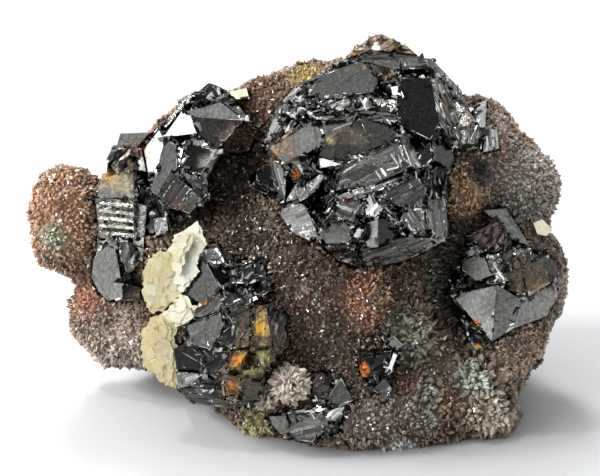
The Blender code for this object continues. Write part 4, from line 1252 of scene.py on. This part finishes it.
def blotched(mesh):
    """Stains the mesh where the blotches are, raggedly, and paints the highlights among them."""
    places = np.array([vertex.co for vertex in mesh.vertices])
    ragged = np.array([noise.fractal(place / MM * 0.8, 1.0, 2.0, 3) for place in map(Vector, places)])
    colours = np.ones((len(places), 4), np.float32)
    colours[:, :3] = BARE_TINT
    clear = np.zeros(len(places), np.float32)
    for right, down, width, height, tint, strength in BLOTCHES:
        away = places - np.array(spot(right, down, 0))
        x = away @ np.array(ACROSS) / MM / GRID_STEP / width
        y = away @ np.array(UP) / MM / GRID_STEP / height
        front = away @ np.array(OUT) > -8 * MM
        weight = np.clip((1.15 + 0.6 * ragged - np.hypot(x, y)) / 0.8, 0, 1) * front * strength
        colours[:, :3] = colours[:, :3] * (1 - weight[:, None]) + np.array(TINTS[tint]) * weight[:, None]
        clear = np.maximum(clear, weight)
    add_attribute(mesh, "tint", "FLOAT_COLOR", "POINT", colours.ravel())
    add_attribute(mesh, "clear", "FLOAT", "POINT", clear)


def worn(mesh, seed):
    """Joins the faces along their edges and wears those edges here and there."""
    chance = random.Random(seed)
    shape = bmesh.new()
    shape.from_mesh(mesh)
    bmesh.ops.remove_doubles(shape, verts=shape.verts[:], dist=3e-6)
    bmesh.ops.recalc_face_normals(shape, faces=shape.faces[:])
    wear = shape.verts.layers.float["wear"]
    for vertex in shape.verts:
        if vertex[wear] and vertex.co.z > 0.1 * MM:
            vertex.co -= vertex.normal * vertex[wear] * chance.random() ** 2 * MM
    shape.to_mesh(mesh)
    shape.free()


# Quartz


def quartz_points(feet, ways, lengths, widths, chance, stubby=False, blunt=0.35, flat=1.0):
    """Six-sided quartz points: the mesh arrays, and how near each of its points is to its tip.

    Stubby ones, whose sides are out of sight, run down to a single point. Flat ones are thinner one way.
    """
    count = len(feet)
    ways = ways / np.linalg.norm(ways, axis=1, keepdims=True)
    helper = np.where(np.abs(ways[:, 2:3]) < 0.9, [[0.0, 0.0, 1.0]], [[1.0, 0.0, 0.0]])
    first = np.cross(ways, helper)
    first /= np.linalg.norm(first, axis=1, keepdims=True)
    turn = chance.uniform(0, math.pi, count)[:, None]
    first = first * np.cos(turn) + np.cross(ways, first) * np.sin(turn)
    second = np.cross(ways, first)
    spin = chance.uniform(0, math.pi / 3, count)
    angles = spin[:, None] + np.arange(6) * math.pi / 3 + chance.uniform(-0.2, 0.2, (count, 6))
    around = first[:, None] * np.cos(angles)[..., None] + second[:, None] * (flat * np.sin(angles))[..., None]
    uneven = 1 + chance.uniform(-0.3, 0.2, (count, 6))
    ring = around * (widths[:, None] * uneven)[..., None]
    shoulder = chance.uniform(blunt, blunt + 0.25, (count, 6))
    high = feet[:, None] + ring * 0.96 + ways[:, None] * (lengths[:, None] * shoulder)[..., None]
    lean = chance.uniform(-0.45, 0.45, (count, 2)) * widths[:, None]
    tips = feet + ways * lengths[:, None] + first * lean[:, :1] + second * lean[:, 1:]
    low = feet[:, None] if stubby else feet[:, None] + ring
    lows = low.shape[1]
    points = np.concatenate([low, high, tips[:, None]], axis=1)
    if stubby:
        sides = [(0, 1 + (k + 1) % 6, 1 + k) for k in range(6)]
    else:
        sides = [(k, (k + 1) % 6, 6 + (k + 1) % 6, 6 + k) for k in range(6)]
    caps = [(lows + k, lows + (k + 1) % 6, lows + 6) for k in range(6)]
    corners = np.array([k for side in sides for k in side] + [k for cap in caps for k in cap])
    corners = (corners[None] + (lows + 7) * np.arange(count)[:, None]).ravel()
    sizes = np.tile([len(sides[0])] * 6 + [3] * 6, count)
    nearness = np.tile([0.0] * lows + [0.6] * 6 + [1.0], count)
    points = points.reshape(-1, 3)
    points[:, 2] = np.maximum(points[:, 2], 0.0)
    return points, corners, sizes, nearness


def stains_at(places):
    """The colours of the feet and of the tips of the points at these places."""
    feet = np.tile(PLAIN_STAIN[0], (len(places), 1))
    tips = np.tile(PLAIN_STAIN[1], (len(places), 1))
    behind = np.clip((SEEN_DEPTH - places @ np.array(OUT) / MM) / 4, 0, 1)
    broad = np.array([noise.noise(Vector(place) / MM * 0.13) for place in places])
    for sign, foot, tip in BACK_STAINS:
        weight = (np.clip(sign * broad * 3, 0, 0.85) * behind)[:, None]
        feet = feet * (1 - weight) + np.array(foot) * weight
        tips = tips * (1 - weight) + np.array(tip) * weight
    ragged = 0.4 * np.array([noise.noise(Vector(place) / MM * 0.45) for place in places])
    for middle, radius, foot, tip in STAINS:
        away = np.linalg.norm(places - np.array(spot(*middle)), axis=1) / MM / radius + ragged
        weight = np.clip((1.25 - away) / 0.6, 0, 1)[:, None]
        feet = feet * (1 - weight) + np.array(foot) * weight
        tips = tips * (1 - weight) + np.array(tip) * weight
    soft = np.interp(places @ np.array(OUT), CALM_DEPTHS, (SOFT_FEET, 0.0))[:, None]
    return feet + (tips - feet) * soft, tips * (1 - 0.35 * soft)


def knob_at(place):
    """How much longer the points are at this place, and the way they spread there if they stand on a knob."""
    for (right, down, out), radius, longer in KNOBS:
        middle = spot(right, down, out)
        away = Vector(place) - middle
        if away.length < radius * MM * 1.05:
            return longer, away.normalized()
    return 1.0, None


# Quartz points that look further away than this are behind, where they stand this much wider apart. The
# lowest part of the lump, up to this height in millimetres, has none.
SEEN_FROM = -0.15
BACK_SPACING = 2.35
BARE_FOOT = 0.25


def druse_feet(spacing, seed):
    """Places on the lump's surface, one to each small cube of space, clear of the crystals let into it."""
    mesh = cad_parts["quartz_matrix"].data
    mesh.calc_loop_triangles()
    places = np.array([vertex.co for vertex in mesh.vertices])
    tris = np.array([tri.vertices for tri in mesh.loop_triangles])
    a, b, c = places[tris[:, 0]], places[tris[:, 1]], places[tris[:, 2]]
    normals = np.cross(b - a, c - a)
    areas = np.linalg.norm(normals, axis=1) / 2
    normals /= np.maximum(2 * areas[:, None], 1e-15)
    chance = np.random.default_rng(seed)
    tries = int(areas.sum() / spacing**2 * 6)
    picked = chance.choice(len(tris), tries, p=areas / areas.sum())
    u, v = chance.random(tries), chance.random(tries)
    flip = u + v > 1
    u[flip], v[flip] = 1 - u[flip], 1 - v[flip]
    spots = a[picked] + u[:, None] * (b - a)[picked] + v[:, None] * (c - a)[picked]
    ways = normals[picked]
    seen = ways @ np.array(OUT) > SEEN_FROM
    standing = (spots[:, 2] > BARE_FOOT * MM) & (ways[:, 2] > -0.97)
    others = surface_tree([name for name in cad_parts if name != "quartz_matrix"])
    kept = []
    for chosen, size in ((standing & seen, spacing * 1.12), (standing & ~seen, spacing * BACK_SPACING)):
        group = np.nonzero(chosen)[0]
        cells = np.floor(spots[group] / size + 0.37).astype(int)
        _, first = np.unique(cells, axis=0, return_index=True)
        kept += list(group[first])
    far = [k for k in kept if others.find_nearest(Vector(spots[k]))[3] > 0.2 * MM]
    return spots[far]


def smooth_ways(mesh):
    """The lump's shape with smoothed ways out at its corners, and a search tree over it."""
    shape = bmesh.new()
    shape.from_mesh(mesh)
    bmesh.ops.remove_doubles(shape, verts=shape.verts[:], dist=2e-6)
    shape.normal_update()
    tree = BVHTree.FromBMesh(shape)
    shape.verts.ensure_lookup_table()
    shape.faces.ensure_lookup_table()
    return shape, tree


def way_at(shape, tree, place):
    """The smoothed way out at a place, weighted between the corners of the facet it is on."""
    _, flat_way, index, _ = tree.find_nearest(Vector(place))
    way = Vector()
    for vertex in shape.faces[index].verts:
        way += vertex.normal / max((vertex.co - Vector(place)).length, 0.1 * MM)
    return (way.normalized() + flat_way * 0.5).normalized()


# Operators


class SPECIMEN_OT_clusters(bpy.types.Operator):
    """Dresses the dark sphalerite clusters with ribs, chips and faces with painted highlights"""

    bl_idname = "specimen.clusters"
    bl_label = "Sphalerite Clusters"

    def execute(self, context):
        values = settings()
        material = sphalerite_material()
        ribs = (values.rib_pitch / MM, values.rib_depth / MM)
        everything = surface_tree(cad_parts)
        for node in CLUSTERS:
            mesh = dressed_cluster(node, ribs, everything)
            made = new_object(node.replace("sphalerite", "crystals"), mesh, material)
            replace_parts(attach(made, "root"), node)
        return {"FINISHED"}


class SPECIMEN_OT_cap(bpy.types.Operator):
    """Dresses the honey brown crystal at the top"""

    bl_idname = "specimen.cap"
    bl_label = "Honey Crystal"

    def execute(self, context):
        values = settings()
        ribs = (values.rib_pitch / MM, values.rib_depth / MM)
        mesh = dressed_cluster("sphalerite_cap", ribs, surface_tree(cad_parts))
        made = new_object("honey_cap", mesh, honey_material())
        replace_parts(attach(made, "root"), "sphalerite_cap")
        return {"FINISHED"}


# How bright the ground's facets are: low, so the ground between the points is painted darker as shade. A
# facet of a point whose draw is over the next value keeps that draw, however calm the rest is, so it can
# carry a painted highlight. The last is how many faces a point has.
GROUND_FACET = 0.4
GLINT_FROM = 0.985
POINT_FACES = 12
# The percentage of the points that are behind, and where the meshes in front and behind part, in metres.
BACK_SHARE = 45
FRONT_SPLIT = 4 * MM
BACK_SPLIT = 2 * MM


class SPECIMEN_OT_lump(bpy.types.Operator):
    """Makes the ground under the druse, from the quartz lump"""

    bl_idname = "specimen.lump"
    bl_label = "Quartz Lump"

    def execute(self, context):
        shape = bmesh.new()
        shape.from_mesh(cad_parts["quartz_matrix"].data)
        bmesh.ops.remove_doubles(shape, verts=shape.verts[:], dist=2e-6)
        for _ in range(2):
            long = [edge for edge in shape.edges if edge.calc_length() > 1.3 * MM]
            bmesh.ops.subdivide_edges(shape, edges=long, cuts=1)
            bmesh.ops.triangulate(shape, faces=shape.faces[:])
        shape.normal_update()
        sink = settings().ground_sink
        for vertex in shape.verts:
            if vertex.co.z > 0.05 * MM:
                rough = 0.2 * noise.noise(vertex.co / MM * 0.9)
                vertex.co -= vertex.normal * sink * (1 + rough)
                vertex.co.z = max(vertex.co.z, 0.0)
        mesh = bpy.data.meshes.new("ground")
        shape.to_mesh(mesh)
        shape.free()
        colours = np.empty((len(mesh.vertices), 4), np.float32)
        foot_stains, tip_stains = stains_at(np.array([vertex.co for vertex in mesh.vertices]))
        colours[:, :3] = foot_stains * 0.75 + tip_stains * 0.25
        colours[:, 3] = 1
        add_attribute(mesh, "stain", "FLOAT_COLOR", "POINT", colours.ravel())
        add_attribute(mesh, "facet", "FLOAT", "FACE", [GROUND_FACET] * len(mesh.polygons))
        # The ground between the points is painted darker, a painted shade in the gaps.
        made = new_object("quartz_ground", mesh, druse_material("stained_ground_painted_shade", 0.35, 0.6, 0.85))
        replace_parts(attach(made, "root"), "quartz_matrix")
        return {"FINISHED"}


class SPECIMEN_OT_druse(bpy.types.Operator):
    """Grows the druse of small quartz points over the lump"""

    bl_idname = "specimen.druse"
    bl_label = "Druse"

    def execute(self, context):
        values = settings()
        feet = druse_feet(values.druse_spacing, values.druse_seed)
        shape, tree = smooth_ways(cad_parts["quartz_matrix"].data)
        chance = np.random.default_rng(values.druse_seed + 1)
        ways = np.array([way_at(shape, tree, place) for place in feet])
        shape.free()
        longer = np.ones(len(feet))
        for k, place in enumerate(feet):
            longer[k], spread = knob_at(place)
            if spread:
                ways[k] = ways[k] * 0.4 + np.array(spread) * 0.6
        kept = (longer == 1) | (chance.random(len(feet)) < KNOB_SHARE)
        feet, ways, longer = feet[kept], ways[kept], longer[kept]
        foot_stains, tip_stains = stains_at(feet)
        waves = np.array([noise.noise(Vector(place) / MM * 0.5) for place in feet])[:, None]
        feet = feet - ways * (values.druse_sink - values.druse_waves * (waves - 0.25))
        ways = ways + chance.normal(0, 0.5, ways.shape)
        sizes = np.exp(np.clip(chance.normal(0, 0.28, len(feet)), -0.6, 0.35))
        lengths = values.druse_length * longer * sizes
        widths = values.druse_spacing * np.where(ways @ np.array(OUT) > SEEN_FROM, 0.52, 0.98) * sizes
        widths[longer > 1] *= KNOB_WIDTH
        material = druse_material("druse_quartz", 0.03, 0.18, 1.0)
        depth = feet @ np.array(OUT)
        back = depth < np.percentile(depth, BACK_SHARE)
        knobs = longer > 1
        parts = (
            ("druse_left", ~back & ~knobs & (feet[:, 0] < FRONT_SPLIT), True),
            ("druse_right", ~back & ~knobs & (feet[:, 0] >= FRONT_SPLIT), True),
            ("druse_knobs", knobs, False),
            ("druse_back_left", back & ~knobs & (feet[:, 0] < BACK_SPLIT), True),
            ("druse_back_right", back & ~knobs & (feet[:, 0] >= BACK_SPLIT), True),
        )
        for name, chosen, stubby in parts:
            picked = np.nonzero(chosen)[0]
            points, corners, counts, nearness = quartz_points(
                feet[picked], ways[picked], lengths[picked], widths[picked], chance, stubby
            )
            each = len(points) // len(picked)
            foot = np.repeat(foot_stains[picked], each, axis=0)
            tip = np.repeat(tip_stains[picked], each, axis=0)
            colours = foot * (1 - nearness[:, None]) + tip * nearness[:, None]
            mesh = faces_mesh(name, points, corners, counts)
            rgba = np.concatenate([colours, np.ones((len(colours), 1))], axis=1).astype(np.float32)
            add_attribute(mesh, "stain", "FLOAT_COLOR", "POINT", rgba.ravel())
            calm = np.interp(depth[picked], CALM_DEPTHS, CALM_SHARES)
            if name == "druse_knobs":
                calm = calm * KNOB_CALM
            drawn = chance.random(len(mesh.polygons))
            facets = np.where(drawn > GLINT_FROM, drawn, 0.5 + (drawn - 0.5) * np.repeat(calm, POINT_FACES))
            add_attribute(mesh, "facet", "FLOAT", "FACE", facets)
            made = new_object(name, mesh, material)
            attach(made, "root")
        return {"FINISHED"}


# How far apart the teeth of a ragged outline stand, and the thickness of a flake, in millimetres.
TOOTH_PITCH = 0.42
FLAKE = 0.14
# The layers of a calcite sheet: how wide each is, how far out it lies and how thick it is, in millimetres.
LAYERS = ((1.0, -0.3, 0.7), (0.88, 0.1, 0.3), (0.66, 0.24, 0.2))
# How many flakes are tried on a sheet, and how much room one needs to the sheet's edge, in millimetres.
FLAKE_TRIES = 16
FLAKE_ROOM = 0.9


def on_sheet(x, y, out):
    """A place in metres, from millimetres across and up from the grid's middle and out."""
    return tuple((ACROSS * x + UP * y + OUT * out - GRID_SHIFT) * MM)


def toothed(outline, chance):
    """The outline with small ragged teeth along it."""
    found = []
    for start, end in zip(outline, np.roll(outline, -1, axis=0)):
        way = end - start
        side = np.array([way[1], -way[0]]) / max(np.linalg.norm(way), 1e-6)
        steps = max(2, int(np.linalg.norm(way) / TOOTH_PITCH))
        for k in range(steps):
            tooth = chance.uniform(-0.3, 0.22) if k else 0.0
            found.append(start + way * (k + 0.5 * bool(k) * chance.random()) / steps + side * tooth)
    return np.array(found)


class SPECIMEN_OT_blades(bpy.types.Operator):
    """Makes the calcite blades as ragged sheets with flakes on them"""

    bl_idname = "specimen.blades"
    bl_label = "Calcite Blades"

    def execute(self, context):
        chance = np.random.default_rng(3)
        points, corners, sizes, pale = [], [], [], []
        for (middle_out, to_right, downwards), paleness, outline in BLADES:
            flat = np.array([(x - GRID_MIDDLE, GRID_FOOT - y) for x, y in outline]) * GRID_STEP
            centre = flat.mean(axis=0)
            for scale, rise, thick in LAYERS:
                shift = chance.uniform(-1, 1, 2) * (1 - scale) * 4
                rim = toothed(centre + (flat - centre) * scale + shift, chance)
                placed, tris, _, _, border, _ = dressed_face(rim, "cleaved", None, chance)
                starts = []
                for side, level in ((1, rise + thick / 2), (-1, rise - thick / 2)):
                    starts.append(len(points))
                    for x, y, height in placed:
                        out = middle_out + (x - centre[0]) * to_right - (y - centre[1]) * downwards
                        points.append(on_sheet(x, y, out + level + (height if side > 0 else 0.0)))
                        pale.append(paleness)
                    for tri in tris:
                        corners += [starts[-1] + k for k in (tri if side > 0 else tri[::-1])]
                        sizes.append(len(tri))
                for here, after in zip(border, border[1:] + border[:1]):
                    corners += [starts[0] + here, starts[1] + here, starts[1] + after, starts[0] + after]
                    sizes.append(4)
            for _ in range(FLAKE_TRIES):
                inside = flat.min(axis=0) + chance.random(2) * np.ptp(flat, axis=0)
                room = reach_inside(inside[None], flat)[0] + 0.1
                if room < FLAKE_ROOM:
                    continue
                sheet = (middle_out, to_right, downwards)
                self.add_flake(inside, room, centre, sheet, chance, points, corners, sizes)
                pale += [min(1.0, max(0.0, paleness + chance.uniform(-0.3, 0.4)))] * (len(points) - len(pale))
        points = [(x, y, max(z, 0.0)) for x, y, z in points]
        mesh = faces_mesh("blades", points, corners, sizes)
        add_attribute(mesh, "pale", "FLOAT", "POINT", pale)
        made = new_object("calcite_sheets", mesh, calcite_material())
        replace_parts(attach(made, "root"), "calcite_blades")
        return {"FINISHED"}

    def add_flake(self, inside, room, centre, sheet, chance, points, corners, sizes):
        """Adds a thin ragged flake that lies on a sheet and leans a little."""
        middle_out, to_right, downwards = sheet
        count = int(chance.integers(5, 9))
        radius = min(chance.uniform(1.0, 2.8), room)
        turns = (np.arange(count) + chance.uniform(-0.3, 0.3, count)) * math.tau / count
        reaches = radius * chance.uniform(0.78, 1.0, count)
        lean = chance.uniform(-0.03, 0.03, 2)
        level = chance.uniform(0.2, 0.4)
        start = len(points)
        for thick in (0.0, -FLAKE):
            for turn, reach in zip(turns, reaches):
                x, y = reach * 0.8 * math.cos(turn), reach * 1.1 * math.sin(turn)
                out = middle_out + (inside[0] + x - centre[0]) * to_right
                out -= (inside[1] + y - centre[1]) * downwards
                out += level + x * lean[0] + y * lean[1] + thick
                points.append(on_sheet(inside[0] + x, inside[1] + y, out))
        corners += [start + k for k in range(count)]
        corners += [start + count + k for k in reversed(range(count))]
        sizes += [count, count]
        for k in range(count):
            after = (k + 1) % count
            corners += [start + after, start + k, start + count + k, start + count + after]
            sizes.append(4)


class SPECIMEN_OT_rosette(bpy.types.Operator):
    """Makes the rosettes of blunt quartz points"""

    bl_idname = "specimen.rosette"
    bl_label = "Quartz Rosette"

    def execute(self, context):
        chance = np.random.default_rng(9)
        feet, ways, lengths, widths = [], [], [], []
        for middle, radius, count in ROSETTES:
            for k in range(count):
                rise = 1 - 1.15 * (k + 0.5) / count
                turn = GOLDEN_TURN * k
                flat = math.sqrt(max(0.0, 1 - rise * rise))
                way = ACROSS * flat * math.cos(turn) + UP * flat * math.sin(turn) + OUT * rise
                feet.append(np.array(spot(*middle)) + np.array(way) * radius * 0.25 * MM)
                ways.append(np.array(way) + chance.normal(0, 0.1, 3))
                lengths.append(radius * MM * 0.75 * chance.uniform(0.62, 1.0))
                widths.append(radius * MM * 0.19 * chance.uniform(0.6, 1.3))
        points, corners, sizes, nearness = quartz_points(
            np.array(feet), np.array(ways), np.array(lengths), np.array(widths), chance, blunt=0.6, flat=0.45
        )
        mesh = faces_mesh("rosette", points, corners, sizes)
        add_attribute(mesh, "tip", "FLOAT", "POINT", nearness.astype(np.float32))
        made = new_object("rosette_points", mesh, rosette_material())
        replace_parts(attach(made, "root"), "quartz_rosette")
        return {"FINISHED"}


class SPECIMEN_OT_pyrite(bpy.types.Operator):
    """Finishes the small pale brassy crystals"""

    bl_idname = "specimen.pyrite"
    bl_label = "Pyrite"

    def execute(self, context):
        material = pyrite_material()
        for node in ("pyrite_chip", "pyrite_left"):
            shape = flat_faces(node)
            bmesh.ops.triangulate(shape, faces=shape.faces[:])
            mesh = bpy.data.meshes.new(node)
            shape.to_mesh(mesh)
            shape.free()
            made = new_object(node.replace("pyrite", "brassy"), mesh, material)
            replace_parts(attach(made, "root"), node)
        return {"FINISHED"}


# The lights: name, place and width in metres, power in watts, and whether bright faces mirror it.
LIGHTS = (
    ("window", (-0.6, 0.03, 0.35), 0.22, 6.5, False),
    ("back", (-0.1, 0.5, 0.48), 0.15, 6.0, False),
    ("fill", (-0.75, -0.5, 0.35), 0.45, 6.5, False),
    ("lamp", (-0.3, -0.1, 0.75), 0.06, 1.6, True),
)
LIGHTS_AIM = Vector((0, 0, 0.02))
SKY_WINDOW = Vector((-0.55, 0.3, 0.78)).normalized()
# The camera: how far off it stands in metres, its sensor's width in millimetres, the picture's width in steps
# of the grid, and the place on the grid that it looks at.
CAMERA_DISTANCE = 1.2
SENSOR_WIDTH = 36
PICTURE_WIDTH = 600
LOOKED_AT = (300, 238, 18)


class SPECIMEN_OT_stage(bpy.types.Operator):
    """Sets up the floor, the light and the camera"""

    bl_idname = "specimen.stage"
    bl_label = "Stage"

    def execute(self, context):
        scene = context.scene
        bpy.ops.mesh.primitive_plane_add(size=settings().floor_size)
        floor = context.object
        floor.name = "floor"
        floor.data.materials.append(floor_material())
        self.light_world(scene)
        for name, place, size, power, mirrored in LIGHTS:
            self.add_light(name, place, size, power, mirrored)
        self.add_camera(scene)
        scene.view_settings.view_transform = "Standard"
        return {"FINISHED"}

    def light_world(self, scene):
        """Pale light from all round, brighter from the upper left and darker where the viewer stands."""
        world = bpy.data.worlds.new("tent")
        scene.world = world
        world.use_nodes = True
        tree = world.node_tree
        background = tree.nodes["Background"]
        place = node_of(tree, "ShaderNodeTexCoord")
        viewer = self.towards(tree, place, OUT)
        window = self.towards(tree, place, SKY_WINDOW)
        shade = ranged(tree, viewer, 0.45, 0.95, 0.75, 0.45)
        bright = ranged(tree, window, 0.35, 0.8, 0.0, 1.0)
        both = node_of(tree, "ShaderNodeMath", operation="ADD")
        tree.links.new(shade, both.inputs[0])
        tree.links.new(bright, both.inputs[1])
        tree.links.new(both.outputs[0], background.inputs["Strength"])
        background.inputs["Color"].default_value = (0.98, 0.99, 1.0, 1)

    def towards(self, tree, place, way):
        """How near each way of the sky is to this one."""
        made = node_of(tree, "ShaderNodeVectorMath", operation="DOT_PRODUCT")
        made.inputs[1].default_value = way
        tree.links.new(place.outputs["Generated"], made.inputs[0])
        return made.outputs["Value"]

    def add_light(self, name, place, size, power, mirrored):
        """A soft square light aimed at the specimen, that bright faces mirror or don't."""
        data = bpy.data.lights.new(name, "AREA")
        data.size = size
        data.energy = power
        light = bpy.data.objects.new(name, data)
        light.visible_glossy = mirrored
        bpy.context.scene.collection.objects.link(light)
        light.location = place
        light.rotation_euler = (LIGHTS_AIM - Vector(place)).to_track_quat("-Z", "Y").to_euler()

    def add_camera(self, scene):
        """The camera at the photograph's angle."""
        data = bpy.data.cameras.new("camera")
        data.sensor_width = SENSOR_WIDTH
        data.lens = SENSOR_WIDTH * CAMERA_DISTANCE / (PICTURE_WIDTH * GRID_STEP * MM)
        data.clip_end = 20
        camera = bpy.data.objects.new("camera", data)
        scene.collection.objects.link(camera)
        camera.location = spot(*LOOKED_AT) + OUT * CAMERA_DISTANCE
        camera.rotation_euler = (-OUT).to_track_quat("-Z", "Y").to_euler()
        scene.camera = camera


OPERATORS = (
    SPECIMEN_OT_clusters,
    SPECIMEN_OT_cap,
    SPECIMEN_OT_lump,
    SPECIMEN_OT_druse,
    SPECIMEN_OT_blades,
    SPECIMEN_OT_rosette,
    SPECIMEN_OT_pyrite,
    SPECIMEN_OT_stage,
)


class SPECIMEN_PT_panel(bpy.types.Panel):
    """Lists the specimen's pieces"""

    bl_idname = "SPECIMEN_PT_panel"
    bl_label = "Sphalerite Specimen"
    bl_space_type = "VIEW_3D"
    bl_region_type = "UI"
    bl_category = "Specimen"

    def draw(self, context):
        for name in SpecimenSettings.__annotations__:
            self.layout.prop(context.scene.specimen, name)
        for operator in OPERATORS:
            self.layout.operator(operator.bl_idname)


CLASSES = (SpecimenSettings, *OPERATORS, SPECIMEN_PT_panel)


def register():
    """Adds the settings, the operators and the panel."""
    for each in CLASSES:
        bpy.utils.register_class(each)
    bpy.types.Scene.specimen = PointerProperty(type=SpecimenSettings)


def unregister():
    """Removes them again."""
    del bpy.types.Scene.specimen
    for each in reversed(CLASSES):
        bpy.utils.unregister_class(each)


def main():
    """Builds every piece and the stage."""
    register()
    for operator in OPERATORS:
        group, name = operator.bl_idname.split(".")
        getattr(getattr(bpy.ops, group), name)()


if __name__ == "__main__":
    main()
